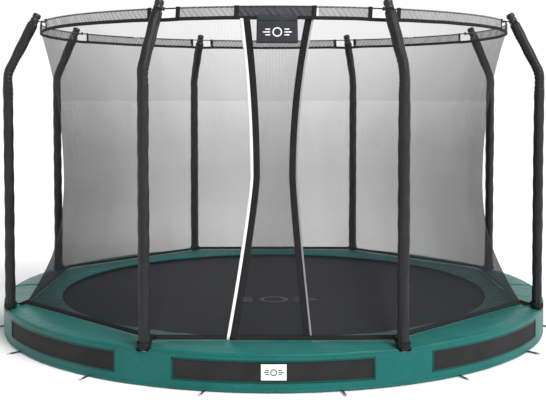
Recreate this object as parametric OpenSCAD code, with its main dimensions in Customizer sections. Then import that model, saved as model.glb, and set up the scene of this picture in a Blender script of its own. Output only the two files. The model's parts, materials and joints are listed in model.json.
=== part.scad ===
// Round in-ground trampoline with a waisted safety net on eight bent poles.
// Azimuth 0 is the entrance, on the -Y side. Azimuth grows towards +X.
// The origin is on the ground, under the middle of the mat.

/* [Overall] */
// Outer diameter over the skirt
outer_d = 3630; // [3000:10:4400]
// Height of the pad's top above the ground
pad_top = 212; // [180:1:320]

/* [Frame] */
// Outer diameter of the frame ring's tube
frame_tube_d = 42; // [30:1:52]
// Wall of every steel tube
tube_wall = 2; // [1.5:0.1:3]
// Distance from the skirt's outside to the frame ring's centre line
frame_inset = 70; // [68:1:120]
// Reach of the plug that joins two ring tubes, into each of them
spigot_l = 70; // [30:1:120]
// Outer diameter of the leg tubes
leg_tube_d = 38; // [25:1:45]
// Half of the angle that a leg spans
leg_half_angle = 6; // [5:0.5:9]
// Length of a leg's sleeve along the ring
leg_sleeve_l = 110; // [80:1:160]
// Overhang of a leg's ground bar past its uprights
leg_overhang = 12; // [5:1:30]
// Thickness of a foot under a leg
foot_t = 5; // [3:0.5:10]
// Length of a foot
foot_l = 90; // [60:1:120]
// Width of a foot
foot_w = 44; // [44:1:80]

/* [Mat and springs] */
// Length of a spring's coiled body
spring_l = 150; // [120:1:210]
// Outer diameter of a spring
spring_d = 23; // [16:0.5:28]
// Wire of a spring
spring_wire = 3.2; // [2.5:0.1:4]
// Springs along one ring tube
springs_per_tube = 9; // [6:1:11]
// Thickness of the jumping mat
mat_t = 2; // [1:0.5:4]
// Gap between the mat and the pad's underside
mat_gap = 12; // [8:1:30]
// Width of the webbing sewn under the mat's edge
webbing_w = 55; // [30:1:80]
// Length of a triangular ring at the mat's edge
ring_l = 34; // [24:1:45]
// Thickness of a triangular ring's wire
ring_wire = 4.5; // [3:0.5:6]

/* [Pad and skirt] */
// Width of the pad, from its inner edge to the skirt's outside
pad_w = 372; // [300:1:420]
// Thickness of the pad
pad_t = 28; // [15:1:40]
// Rounding of the pad's edges
pad_round = 12; // [6:1:14]
// Thickness of the skirt
skirt_t = 2; // [1:0.5:3]
// Gap between the skirt and the ground
skirt_gap = 5; // [3:1:20]
// Height of a skirt window
window_h = 98; // [60:1:110]
// Distance from the pad's top down to a window
window_drop = 52; // [45:1:60]
// Half of the angle that a window spans
window_half_angle = 16.75; // [10:0.25:19]
// Width of the seam that overlaps a window's mesh
window_lap = 8; // [5:1:14]
// Width of the blank label on the front window
label_w = 132; // [80:1:200]
// Height of the blank label
label_h = 84; // [50:1:90]
// Reach of a skirt peg beyond the skirt
peg_reach = 82; // [50:1:120]
// Diameter of a skirt peg
peg_d = 7; // [5:0.5:10]

/* [Poles] */
// Outer diameter of a pole tube
pole_d = 38; // [28:1:38]
// Distance from the skirt's outside to a pole's centre line
pole_inset = 25; // [25:1:30]
// Height of the bend above the pad's top
bend_h = 1448; // [1100:5:1700]
// Rise from the bend to the top of the cap
pole_rise = 377; // [300:1:450]
// Lean of the pole above its bend
pole_lean = 26.5; // [15:0.5:32]
// Radius of the bend
bend_r = 160; // [120:5:250]
// Height of the joint between lower and upper pole above the pad's top
pole_joint_h = 780; // [500:10:1000]
// Length of the upper pole inside the lower one
pole_plug_l = 90; // [60:5:140]
// Outer diameter of the foam sleeve
sleeve_d = 70; // [60:1:80]
// Clearance round a pole in its sleeve and sockets
pole_gap = 0.4; // [0.2:0.1:1]
// Height of the cap along the pole
cap_h = 58; // [45:1:80]
// Outer diameter of the cap
cap_d = 52; // [46:1:60]
// Depth of the pole inside the cap
cap_socket = 30; // [20:1:40]
// Depth of the sleeve's end in the pad
sleeve_sink = 30; // [10:1:60]

/* [Brackets] */
// Width of a pole socket along the ring
socket_w = 96; // [80:1:120]
// Height of the upper pole socket
socket_h = 34; // [24:1:42]
// Diameter of a bolt
bolt_d = 8; // [6:1:10]
// Distance from the pole to a bolt, along the ring
bolt_offset = 36; // [34:1:38]
// Thickness of a socket's ears
ear_t = 10; // [6:1:14]

/* [Net] */
// Diameter of the hoop's rods
rod_d = 8; // [6:0.5:12]
// Drop of the hoop below the pole tops
hoop_drop = 35; // [30:1:50]
// Distance from a pole's top inward to the hoop
hoop_in = 40; // [38:1:60]
// Height of the net's top band
band_h = 66; // [45:1:90]
// Half of the angle left open in the top band at a pole
band_gap_angle = 3.2; // [2:0.1:4]
// Thickness of netting and band
net_t = 2; // [1.5:0.5:3]
// Distance of the waist inside the hoop
waist_depth = 142; // [60:1:200]
// Height of the waist above the pad's top
waist_h = 740; // [500:5:1000]
// Length of the strap from a net corner to a pole
strap_l = 60; // [50:1:90]
// Width of a strap
strap_w = 25; // [20:1:30]
// Height of the hem along the net's bottom
hem_h = 22; // [15:1:30]
// Thickness of hems and bindings
hem_t = 4; // [3:0.5:6]
// Gap between the hem and the pad's top
hem_gap = 8; // [4:1:20]

/* [Entrance] */
// Distance between the two net layers
layer_gap = 12; // [10:1:20]
// Width of the binding on a flap's free edge
binding_w = 21; // [15:1:30]
// Free edge of the outer flap at the top, from the middle
outer_edge_top = -160; // [-220:1:-140]
// Free edge of the outer flap at its waist
outer_edge_waist = -110; // [-160:1:-90]
// Free edge of the outer flap at the bottom
outer_edge_bottom = -235; // [-300:1:-200]
// Free edge of the inner flap at the top
inner_edge_top = 203; // [160:1:240]
// Free edge of the inner flap at its waist
inner_edge_waist = 121; // [90:1:160]
// Free edge of the inner flap at the bottom
inner_edge_bottom = 197; // [160:1:260]
// Height of both edges' waist above the pad's top
edge_waist_h = 868; // [700:5:1000]
// How far the outer fold line starts from the free edge, at the top
fold_start = 20; // [18:1:30]
// Where the outer fold line meets the hem, from the middle
fold_bottom = 520; // [400:5:540]
// Where the inner flap's upright fold line stands, from the middle
inner_fold = 400; // [350:5:450]
// Gap along a fold line
fold_gap = 2; // [1:0.5:4]
// Width of the badge over the entrance
badge_w = 212; // [120:1:240]
// Height of the badge
badge_h = 148; // [80:1:170]
// Place of the badge's middle, to the right
badge_x = 18; // [0:1:30]
// Height of the badge's part on the top band
badge_lap = 20; // [5:1:40]
// Gap between the badge and the netting behind it
badge_gap = 4; // [3:0.5:8]

/* [Hidden] */
$fn = 48;
ring_fn = 360;
bays = 8;
bay = 360 / bays;
half_bay = bay / 2;
outer_r = outer_d / 2;
frame_r = outer_r - frame_inset;
pole_r = outer_r - pole_inset;
pad_in_r = outer_r - pad_w;
pad_bottom = pad_top - pad_t;
mat_z = pad_bottom - mat_gap - mat_t / 2;
leg_z = foot_t + leg_tube_d / 2;
frame_fit = 0.3;
spigot_d = frame_tube_d - 2 * tube_wall - 2 * frame_fit;
sleeve_wall = 3;
clamp_d = frame_tube_d + 2 * (sleeve_wall + frame_fit);
clamp_half = leg_sleeve_l / frame_r * 90 / PI;
frame_z = pad_bottom - 1 - clamp_d / 2;
leg_tie_r = frame_r * cos(leg_half_angle);
bar_bolt_z = (foot_t + leg_z + leg_tube_d / 2) / 2;
socket_out = outer_r - skirt_t - 1;
bolt_hole_d = bolt_d + 0.6;
bolt_head_h = 5;
bolt_seat = frame_r - sqrt(pow(frame_r, 2) - pow(bolt_offset + bolt_d, 2));
nut_h = 6;
spring_eye_r = 7;
spring_out = frame_r - clamp_d / 2 - 1;
hook_hole_d = spring_wire + 3;
spring_in = spring_out - spring_l;
spring_z = mat_z;
ring_out = spring_in - spring_eye_r + 2;
peg_z = peg_d / 2 + 1;
mat_r = ring_out - ring_l;
joint_z = pad_top + pole_joint_h;
kink_z = pad_top + bend_h;
bend_cut = bend_r * tan(pole_lean / 2);
bend_z = kink_z - bend_cut;
bend_lap = 1;
bend_hair = 0.3;
top_z = kink_z + pole_rise;
top_r = pole_r - pole_rise * tan(pole_lean);
lean_l = pole_rise / cos(pole_lean) - bend_cut;
pole_foot_z = foot_t + 8;
plug_d = pole_d - 2 * tube_wall - pole_gap;
cap_eye_w = 7;
hoop_r = top_r - hoop_in;
hoop_z = top_z - hoop_drop;
net_top = hoop_z - band_h;
waist_r = hoop_r - waist_depth;
waist_z = pad_top + waist_h;
hem_bottom = pad_top + hem_gap;
hem_top = hem_bottom + hem_h;
corner_r = pole_r - sleeve_d / 2 - strap_l;
hem_side_r = corner_r * cos(half_bay);
waist_power = 2.2;
corner_power = 1.2;
edge_z = pad_top + edge_waist_h;
net_rows = 10;
net_columns = 8;
window_top = pad_top - window_drop;
window_bottom = window_top - window_h;

// --- places ---

// Middle of bay k, and the pole to its right; bay 1 holds the entrance.
function bay_angle(k) = (k - 1) * bay;
function pole_angle(k) = bay_angle(k) + half_bay;

module at(angle) {
    rotate([0, 0, angle]) children();
}

// A tube along the ring, from -half to +half degrees, at the front.
module ring_arc(radius, z, d, half) {
    translate([0, 0, z])
        rotate([0, 0, -90 - half])
            rotate_extrude(angle = 2 * half, $fn = ring_fn)
                translate([radius, 0]) circle(d = d, $fn = 48);
}

// A thin wall along the ring, at the front.
module wall_arc(radius, thick, low, high, half) {
    rotate([0, 0, -90 - half])
        rotate_extrude(angle = 2 * half, $fn = ring_fn)
            translate([radius - thick, low]) square([thick, high - low]);
}

module radial_rod(from_r, to_r, x, z, d) {
    translate([x, -from_r, z]) rotate([90, 0, 0]) cylinder(d = d, h = to_r - from_r);
}

// --- frame ---

// Springs hook into one ring tube at these azimuths from its middle.
spring_angles = [for (i = [0:springs_per_tube - 1])
    (i + 0.5 - springs_per_tube / 2) * bay / springs_per_tube];

module hook_hole() {
    radial_rod(frame_r - clamp_d, frame_r, 0, spring_z, hook_hole_d);
}

// One eighth of the ring. A plug in its right-hand end joins the next tube.
module frame_tube(k) {
    plug_angle = spigot_l / frame_r * 180 / PI;
    color("silver") at(pole_angle(k)) {
        difference() {
            ring_arc(frame_r, frame_z, frame_tube_d, half_bay);
            ring_arc(frame_r, frame_z, frame_tube_d - 2 * tube_wall, half_bay + 1);
            for (x = [-bolt_offset, bolt_offset])
                radial_rod(frame_r - frame_tube_d, frame_r + frame_tube_d, x, frame_z,
                    bolt_hole_d);
            for (a = spring_angles) at(a) hook_hole();
        }
        at(half_bay) difference() {
            ring_arc(frame_r, frame_z, spigot_d, plug_angle);
            ring_arc(frame_r, frame_z, spigot_d - 2 * tube_wall, 2 * plug_angle);
        }
    }
}

module leg(k) {
    bar_l = 2 * frame_r * sin(leg_half_angle) + leg_tube_d + 2 * leg_overhang;
    bore_d = leg_tube_d - 2 * tube_wall;
    color("silver") at(pole_angle(k)) difference() {
        union() {
            for (side = [-1, 1]) at(side * leg_half_angle) {
                ring_arc(frame_r, frame_z, clamp_d, clamp_half);
                translate([0, -frame_r, leg_z]) cylinder(d = leg_tube_d, h = frame_z - leg_z);
            }
            leg_bar(leg_tube_d, bar_l);
        }
        leg_bar(bore_d, bar_l + 2);
        for (side = [-1, 1]) at(side * leg_half_angle) {
            ring_arc(frame_r, frame_z, frame_tube_d + 2 * frame_fit, 2 * clamp_half);
            translate([0, -frame_r, leg_z]) cylinder(d = bore_d, h = frame_z - leg_z);
        }
        for (x = [-bolt_offset, bolt_offset])
            radial_rod(leg_tie_r - leg_tube_d, leg_tie_r + leg_tube_d, x, bar_bolt_z, bolt_hole_d);
        for (a = spring_angles)
            if (abs(abs(a) - leg_half_angle) < 2 * clamp_half) at(a) hook_hole();
    }
}

module leg_bar(d, length) {
    translate([-length / 2, -leg_tie_r, leg_z]) rotate([0, 90, 0]) cylinder(d = d, h = length);
}

module leg_feet() {
    span = frame_r * sin(leg_half_angle) - foot_l / 2;
    color("dimgray") for (k = [1:bays]) at(pole_angle(k))
        for (side = [-1, 1])
            translate([side * span, -leg_tie_r, 0]) difference() {
                translate([-foot_l / 2, -foot_w / 2, 0]) cube([foot_l, foot_w, leg_z - 4]);
                translate([-foot_l, 0, leg_z]) rotate([0, 90, 0])
                    cylinder(d = leg_tube_d, h = 2 * foot_l);
            }
}

// A socket at the ring and a cup at the leg's bar hold each pole.
module pole_sockets() {
    color("gray") for (k = [1:bays]) at(pole_angle(k)) {
        difference() {
            socket_block(frame_r, frame_tube_d, frame_z - socket_h / 2, socket_h);
            ring_arc(frame_r, frame_z, frame_tube_d + 2 * frame_fit, 4);
            pole_bore(frame_z - socket_h);
        }
        difference() {
            socket_block(leg_tie_r, leg_tube_d, foot_t, leg_z + leg_tube_d / 2 - foot_t);
            translate([-socket_w, -leg_tie_r, leg_z]) rotate([0, 90, 0])
                cylinder(d = leg_tube_d + 2 * frame_fit, h = 2 * socket_w);
            pole_bore(pole_foot_z);
        }
    }
}

// Ears flank a deeper middle, and start at the tube's centre line.
module socket_block(tube_r, tube_d, low, height) {
    ear_out = tube_r + tube_d / 2 + ear_t;
    middle_w = pole_d + 10;
    difference() {
        union() {
            translate([-socket_w / 2, -ear_out, low])
                cube([socket_w, ear_out - tube_r - tube_d / 4, height]);
            translate([-middle_w / 2, -socket_out, low])
                cube([middle_w, socket_out - tube_r - tube_d / 4, height]);
        }
        for (x = [-bolt_offset, bolt_offset])
            radial_rod(tube_r, outer_r, x, low + height / 2, bolt_hole_d);
    }
}

module pole_bore(low) {
    translate([0, -pole_r, low]) cylinder(d = pole_d + 2 * pole_gap, h = 3 * socket_h);
}

// Both rows of bolts: the tube's radius in plan, its diameter and the row's height.
bolt_rows = [
    [frame_r, frame_tube_d, frame_z],
    [leg_tie_r, leg_tube_d, bar_bolt_z]
];

module bolts_and_nuts() {
    color("lightgray") for (k = [1:bays]) at(pole_angle(k))
        for (row = bolt_rows, x = [-bolt_offset, bolt_offset]) {
            head_r = row[0] - row[1] / 2 - bolt_seat;
            face_r = row[0] + row[1] / 2 + ear_t;
            radial_rod(head_r - bolt_head_h, head_r, x, row[2], 1.7 * bolt_d);
            radial_rod(head_r - bolt_head_h / 2, face_r + nut_h + 4, x, row[2], bolt_d);
            difference() {
                translate([x, -face_r, row[2]]) rotate([90, 0, 0])
                    cylinder(d = 1.8 * bolt_d, h = nut_h, $fn = 6);
                radial_rod(face_r - 1, face_r + nut_h + 1, x, row[2], bolt_d + 0.1);
            }
        }
}

// --- poles ---

module lower_pole(k) {
    color("silver") at(pole_angle(k)) translate([0, -pole_r, 0]) difference() {
        translate([0, 0, pole_foot_z]) cylinder(d = pole_d, h = joint_z - pole_foot_z);
        translate([0, 0, pole_foot_z - 1])
            cylinder(d = pole_d - 2 * tube_wall, h = joint_z - pole_foot_z + 2);
    }
}

// Sweeps a round bar along the pole from height low to the pole's end, less cut.
// The bend is a hair thinner and laps into both straights, so that the three join.
module pole_sweep(d, low, cut) {
    translate([0, 0, low]) cylinder(d = d, h = bend_z - low);
    translate([0, bend_r, bend_z]) rotate([90, 0, -90]) rotate([0, 0, -bend_lap])
        rotate_extrude(angle = pole_lean + 2 * bend_lap, $fn = ring_fn) translate([bend_r, 0])
            circle(d = d - bend_hair, $fn = 48);
    translate([0, bend_r, bend_z]) rotate([-pole_lean, 0, 0]) translate([0, -bend_r, 0])
        cylinder(d = d, h = lean_l - cut);
}

module upper_pole(k) {
    color("silver") at(pole_angle(k)) translate([0, -pole_r, 0]) difference() {
        union() {
            pole_sweep(pole_d, joint_z, cap_h - cap_socket);
            translate([0, 0, joint_z - pole_plug_l]) cylinder(d = plug_d, h = pole_plug_l + 2);
        }
        pole_sweep(pole_d - 2 * tube_wall, joint_z + tube_wall, -1);
        translate([0, 0, joint_z - pole_plug_l - 1])
            cylinder(d = plug_d - 2 * tube_wall, h = pole_plug_l + 2 * tube_wall + 1);
    }
}

module pole_sleeves() {
    low = pad_top - sleeve_sink;
    color("#1f1f21") for (k = [1:bays]) at(pole_angle(k)) translate([0, -pole_r, 0]) difference() {
        pole_sweep(sleeve_d, low, cap_h + 1);
        pole_sweep(pole_d + 2 * pole_gap, low - 1, cap_h - 5);
    }
}

// Places children at a pole's top end, with +Z along the lean.
module at_pole_top(k) {
    at(pole_angle(k)) translate([0, -pole_r + bend_r, bend_z])
        rotate([-pole_lean, 0, 0]) translate([0, -bend_r, lean_l]) children();
}

module pole_caps() {
    color("#161617") for (k = [1:bays]) {
        pole_cap(k);
        at(pole_angle(k)) cap_eye();
    }
}

// The eye on a cap's inner side holds the hoop.
module cap_eye() {
    eye_d = rod_d + 10;
    cap_face = top_r + hoop_drop * tan(pole_lean) - cap_d / 2 / cos(pole_lean) + 4;
    difference() {
        union() {
            translate([-cap_eye_w / 2, -cap_face, hoop_z - eye_d / 3])
                cube([cap_eye_w, cap_face - hoop_r - rod_d / 2 - 2, eye_d * 2 / 3]);
            translate([-cap_eye_w / 2, -hoop_r, hoop_z]) rotate([0, 90, 0])
                cylinder(d = eye_d, h = cap_eye_w);
        }
        ring_arc(hoop_r, hoop_z, rod_d + 0.6, 3);
    }
}

module pole_cap(k) {
    r = cap_d / 2;
    at_pole_top(k) difference() {
        rotate_extrude() difference() {
            union() {
                translate([0, -cap_h]) square([r - 3, cap_h - 8]);
                translate([0, -cap_h]) square([r, cap_h * 0.35]);
                translate([0, -cap_h * 0.45]) square([r, cap_h * 0.45 - 8]);
                translate([0, -8]) square([r - 8, 8]);
                translate([r - 8, -8]) circle(r = 8);
            }
            translate([-2 * r, -2 * cap_h]) square([2 * r, 4 * cap_h]);
        }
        translate([0, 0, -cap_h - 1]) cylinder(d = pole_d + 2 * pole_gap, h = cap_socket + 1);
    }
}

// --- mat and springs ---

module around_springs() {
    for (k = [1:bays], a = spring_angles) at(pole_angle(k) + a) children();
}

module springs() {
    eye_r = spring_in - spring_eye_r + 2;
    color("gainsboro") around_springs() {
        difference() {
            radial_rod(spring_in, spring_out, 0, spring_z, spring_d);
            radial_rod(spring_in + spring_wire, spring_out - spring_wire, 0, spring_z,
                spring_d - 2 * spring_wire);
        }
        radial_rod(spring_out - 1, frame_r - frame_tube_d / 2 + tube_wall + 3, 0, spring_z,
            spring_wire);
        translate([-spring_wire / 2, -eye_r, spring_z]) rotate([0, 90, 0]) difference() {
            cylinder(r = spring_eye_r + spring_wire / 2, h = spring_wire);
            translate([0, 0, -1])
                cylinder(r = spring_eye_r - spring_wire / 2, h = spring_wire + 2);
        }
    }
}

module mat() {
    color("#2a2b2d") translate([0, 0, mat_z - mat_t / 2]) cylinder(r = mat_r, h = mat_t, $fn = ring_fn);
}

module mat_webbing() {
    color("#1c1c1e") translate([0, 0, mat_z - mat_t / 2 - 2]) difference() {
        cylinder(r = mat_r, h = 2, $fn = ring_fn);
        translate([0, 0, -1]) cylinder(r = mat_r - webbing_w, h = 4, $fn = ring_fn);
    }
}

// Flat-laid triangular rings: the wide side is sewn in, the tip takes a spring.
module mat_rings() {
    wide = ring_l * 0.9;
    color("gainsboro") around_springs()
        translate([0, -mat_r, mat_z - ring_wire / 2]) linear_extrude(ring_wire) difference() {
            polygon([[-wide / 2, 0], [wide / 2, 0], [6, -ring_l], [-6, -ring_l]]);
            polygon([
                [-wide / 2 + 1.6 * ring_wire, -ring_wire], [wide / 2 - 1.6 * ring_wire, -ring_wire],
                [3, -ring_l + ring_wire], [-3, -ring_l + ring_wire]
            ]);
        }
}

// --- pad and skirt ---

module spring_pad() {
    out = outer_r - skirt_t;
    low = pad_bottom + pad_round;
    high = pad_top - pad_round;
    color("#2a8276") difference() {
        rotate_extrude($fn = ring_fn) polygon([
            [pad_in_r, low], [pad_in_r + pad_round, pad_bottom], [out, pad_bottom],
            [out, high], [out - pad_round, pad_top], [pad_in_r + pad_round, pad_top],
            [pad_in_r, high]
        ]);
        for (k = [1:bays]) at(pole_angle(k))
            translate([0, -pole_r, pad_bottom - 1]) cylinder(d = sleeve_d + 1, h = pad_t + 2);
    }
}

module skirt() {
    color("#2f9184") difference() {
        translate([0, 0, skirt_gap]) difference() {
            cylinder(r = outer_r, h = pad_top - pad_round - skirt_gap, $fn = ring_fn);
            translate([0, 0, -1]) cylinder(r = outer_r - skirt_t, h = pad_top, $fn = ring_fn);
        }
        for (k = [1:bays]) {
            at(bay_angle(k))
                wall_arc(outer_r + 5, 15, window_bottom, window_top, window_half_angle);
            at(pole_angle(k))
                translate([0, -pole_r, pad_top - sleeve_sink - 1])
                    cylinder(d = sleeve_d + 1, h = sleeve_sink + 2);
        }
        around_pegs() radial_rod(outer_r - 5 * skirt_t, outer_r + 5, 0, peg_z, peg_d + 1);
    }
}

module skirt_windows() {
    lap_angle = window_lap / outer_r * 180 / PI;
    color("#2b2b2d") for (k = [1:bays]) at(bay_angle(k))
        wall_arc(outer_r - skirt_t - 0.1, 0.9, window_bottom - window_lap,
            window_top + window_lap, window_half_angle + lap_angle);
}

module skirt_label() {
    middle = (window_top + window_bottom) / 2;
    color("white") wall_arc(outer_r + 0.4, 0.4 + skirt_t, middle - label_h / 2,
        middle + label_h / 2, label_w / outer_r * 90 / PI);
}

module around_pegs() {
    for (k = [1:2 * bays]) at((k - 0.5) * half_bay) children();
}

module skirt_pegs() {
    color("#202022") around_pegs() {
        radial_rod(outer_r - skirt_t - 8, outer_r + peg_reach, 0, peg_z, peg_d);
        translate([0, -outer_r - peg_reach, peg_z]) sphere(d = peg_d + 1.5);
    }
}

// --- hoop and net ---

module hoop_rods() {
    trim = 2 / hoop_r * 180 / PI;
    color("#2a2a2c") for (k = [1:bays]) at(pole_angle(k))
        ring_arc(hoop_r, hoop_z, rod_d, half_bay - trim);
}

module hoop_ferrules() {
    length = 60 / hoop_r * 180 / PI;
    color("silver") for (k = [1:bays]) at(bay_angle(k)) difference() {
        ring_arc(hoop_r, hoop_z, rod_d + 3, length / 2);
        ring_arc(hoop_r, hoop_z, rod_d, length);
    }
}

module top_band() {
    half = half_bay - band_gap_angle;
    out = hoop_r + rod_d / 2 + 2 + net_t;
    color("#3c3d40") for (k = [1:bays]) at(bay_angle(k)) {
        wall_arc(out, net_t, net_top, hoop_z + rod_d / 2 + 2, half);
    }
}

// Mid-bay radius of the net at a height.
function side_r(z) = z > waist_z
    ? waist_r + (hoop_r - waist_r) * pow((z - waist_z) / (net_top - waist_z), waist_power)
    : waist_r + (hem_side_r - waist_r)
        * pow((waist_z - z) / (waist_z - hem_bottom), waist_power);

// 0 where the net is round, 1 at the bottom where its straps pull it to a polygon.
function squareness(z) = z > waist_z ? 0
    : pow((waist_z - z) / (waist_z - hem_bottom), corner_power);

// Azimuth measured from the middle of the bay that it falls in.
function in_bay(a) = a - bay * round(a / bay);
function net_r(a, z) = side_r(z) * (1 + squareness(z) * (1 / cos(in_bay(a)) - 1));
function net_point(a, z, out) = (net_r(a, z) + out) * [sin(a), -cos(a)];

// Azimuth of the point of the front bay that lies x to the right, by steps.
function azimuth_at(x, z, a = 0, steps = 4) = steps == 0 ? a
    : azimuth_at(x, z, asin(x / net_r(a, z)), steps - 1);

function mix(a, b, t) = a + (b - a) * t;
function edge_x(z, top, waist, bottom) = z > edge_z
    ? mix(waist, top, pow((z - edge_z) / (net_top - edge_z), 2))
    : mix(waist, bottom, pow((edge_z - z) / (edge_z - hem_bottom), 1.2));
function outer_edge_x(z) = edge_x(z, outer_edge_top, outer_edge_waist, outer_edge_bottom);
function inner_edge_x(z) = edge_x(z, inner_edge_top, inner_edge_waist, inner_edge_bottom);
function outer_fold_x(z) = mix(fold_bottom, outer_edge_top + fold_start,
    (z - hem_bottom) / (net_top - hem_bottom));
function inner_fold_x(z) = -inner_fold;

function step_z(low, high, rows) = [for (j = [0:rows]) mix(low, high, j / rows)];
function all_at(angle, zs) = [for (z = zs) angle];

function split(quad) = [[quad[0], quad[1], quad[2]], [quad[0], quad[2], quad[3]]];
function flat(lists) = [for (list = lists) for (item = list) item];

// A thin sheet on the net's surface. zs are its rows' heights, and left and right
// are the azimuths of each row's ends from its bay's middle.
module net_sheet(zs, left, right, out = 0, thick = net_t, n = net_columns) {
    m = len(zs) - 1;
    count = (n + 1) * (m + 1);
    points = [for (side = [thick, 0], j = [0:m], i = [0:n])
        let (a = mix(left[j], right[j], i / n), p = net_point(a, zs[j], out + side))
            [p[0], p[1], zs[j]]];
    faces = flat([
        for (j = [0:m - 1], i = [0:n - 1])
            let (p = j * (n + 1) + i, q = p + n + 1, r = count + p, s = count + q)
                flat([split([p, q, q + 1, p + 1]), split([r, r + 1, s + 1, s])]),
        for (i = [0:n - 1])
            let (p = m * (n + 1) + i)
                flat([
                    split([i, i + 1, count + i + 1, count + i]),
                    split([p + 1, p, count + p, count + p + 1])
                ]),
        for (j = [0:m - 1])
            let (p = j * (n + 1), q = p + n + 1)
                flat([
                    split([q, p, count + p, count + q]),
                    split([p + n, q + n, count + q + n, count + p + n])
                ])
    ]);
    polyhedron(points, faces);
}

// The net over some whole bays, from bay k on.
module net_bays(k, count) {
    zs = step_z(hem_top, net_top, net_rows);
    first = bay_angle(k) - half_bay;
    color("#4a4b4e")
        net_sheet(zs, all_at(first, zs), all_at(first + count * bay, zs),
            n = count * net_columns);
}

module net_left() { net_bays(6, 3); }
module net_right() { net_bays(2, 3); }
module net_back() { net_bays(5, 1); }

front_zs = step_z(hem_top, net_top, net_rows);
hem_zs = [hem_bottom, hem_top];
function azimuths(zs, xs) = [for (j = [0:len(zs) - 1]) azimuth_at(xs[j], zs[j])];

module net_front_right() {
    color("#4a4b4e")
        net_sheet(front_zs, azimuths(front_zs, [for (z = front_zs) outer_fold_x(z) + fold_gap]),
            all_at(half_bay, front_zs), out = layer_gap);
}

module net_front_left() {
    color("#4a4b4e")
        net_sheet(front_zs, all_at(-half_bay, front_zs),
            azimuths(front_zs, [for (z = front_zs) inner_fold_x(z) - fold_gap]));
}

module outer_flap() {
    color("#3a3b3e")
        net_sheet(front_zs, azimuths(front_zs, [for (z = front_zs) outer_edge_x(z)]),
            azimuths(front_zs, [for (z = front_zs) outer_fold_x(z)]), out = layer_gap);
}

module inner_flap() {
    color("#3a3b3e")
        net_sheet(front_zs, azimuths(front_zs, [for (z = front_zs) inner_fold_x(z)]),
            azimuths(front_zs, [for (z = front_zs) inner_edge_x(z)]));
}

module flap_bindings_outer() {
    color("#141415") {
        net_sheet(front_zs,
            azimuths(front_zs, [for (z = front_zs) outer_edge_x(z) - binding_w]),
            azimuths(front_zs, [for (z = front_zs) outer_edge_x(z)]),
            out = layer_gap - 1, thick = hem_t, n = 1);
        net_sheet(hem_zs, azimuths(hem_zs, [for (z = hem_zs) outer_edge_x(z) - binding_w]),
            azimuths(hem_zs, [for (z = hem_zs) outer_fold_x(z)]),
            out = layer_gap - 1, thick = hem_t);
    }
}

module flap_bindings_inner() {
    color("#141415") {
        net_sheet(front_zs, azimuths(front_zs, [for (z = front_zs) inner_edge_x(z)]),
            azimuths(front_zs, [for (z = front_zs) inner_edge_x(z) + binding_w]),
            out = -1, thick = hem_t, n = 1);
        net_sheet(hem_zs, azimuths(hem_zs, [for (z = hem_zs) inner_fold_x(z)]),
            azimuths(hem_zs, [for (z = hem_zs) inner_edge_x(z) + binding_w]),
            out = -1, thick = hem_t);
    }
}

// A blank badge hangs over the entrance, in front of both net layers.
module badge() {
    top = net_top + badge_lap;
    zs = step_z(top - badge_h, top, 4);
    color("#2b2c2f")
        net_sheet(zs, azimuths(zs, all_at(badge_x - badge_w / 2, zs)),
            azimuths(zs, all_at(badge_x + badge_w / 2, zs)),
            out = layer_gap + net_t + badge_gap, n = 4);
}

// The hem of the fixed net. Its two ends in the entrance bay stand just clear.
module net_hem() {
    clear = 0.1;
    color("#141415") {
        net_sheet(hem_zs, all_at(half_bay, hem_zs), all_at(bays * bay - half_bay, hem_zs),
            out = -1, thick = hem_t, n = (bays - 1) * 2);
        net_sheet(hem_zs, all_at(clear - half_bay, hem_zs),
            azimuths(hem_zs, [for (z = hem_zs) inner_fold_x(z) - fold_gap]),
            out = -1, thick = hem_t, n = 2);
        net_sheet(hem_zs, azimuths(hem_zs, [for (z = hem_zs) outer_fold_x(z) + fold_gap]),
            all_at(half_bay - clear, hem_zs), out = layer_gap - 1, thick = hem_t, n = 2);
        for (k = [1:bays]) at(pole_angle(k)) corner_strap();
    }
}

// A strap runs from a net corner to its loop round the pole's sleeve.
module corner_strap() {
    loop_r = sleeve_d / 2;
    near = corner_r + layer_gap + hem_t;
    translate([-1, -pole_r + loop_r + 1, hem_bottom]) cube([2, pole_r - loop_r - near, strap_w]);
    translate([0, -pole_r, hem_bottom]) difference() {
        cylinder(r = loop_r + 2, h = strap_w);
        translate([0, 0, -1]) cylinder(r = loop_r, h = strap_w + 2);
    }
}

frame_tube(1);  // frame_tube_1
frame_tube(2);  // frame_tube_2
frame_tube(3);  // frame_tube_3
frame_tube(4);  // frame_tube_4
frame_tube(5);  // frame_tube_5
frame_tube(6);  // frame_tube_6
frame_tube(7);  // frame_tube_7
frame_tube(8);  // frame_tube_8
leg(1);  // leg_1
leg(2);  // leg_2
leg(3);  // leg_3
leg(4);  // leg_4
leg(5);  // leg_5
leg(6);  // leg_6
leg(7);  // leg_7
leg(8);  // leg_8
lower_pole(1);  // lower_pole_1
lower_pole(2);  // lower_pole_2
lower_pole(3);  // lower_pole_3
lower_pole(4);  // lower_pole_4
lower_pole(5);  // lower_pole_5
lower_pole(6);  // lower_pole_6
lower_pole(7);  // lower_pole_7
lower_pole(8);  // lower_pole_8
upper_pole(1);  // upper_pole_1
upper_pole(2);  // upper_pole_2
upper_pole(3);  // upper_pole_3
upper_pole(4);  // upper_pole_4
upper_pole(5);  // upper_pole_5
upper_pole(6);  // upper_pole_6
upper_pole(7);  // upper_pole_7
upper_pole(8);  // upper_pole_8
leg_feet();
pole_sockets();
bolts_and_nuts();
pole_sleeves();
pole_caps();
springs();
mat();
mat_webbing();
mat_rings();
spring_pad();
skirt();
skirt_windows();
skirt_label();
skirt_pegs();
hoop_rods();
hoop_ferrules();
top_band();
net_left();
net_back();
net_right();
net_front_left();
net_front_right();
outer_flap();
inner_flap();
flap_bindings_outer();
flap_bindings_inner();
net_hem();
badge();
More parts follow.
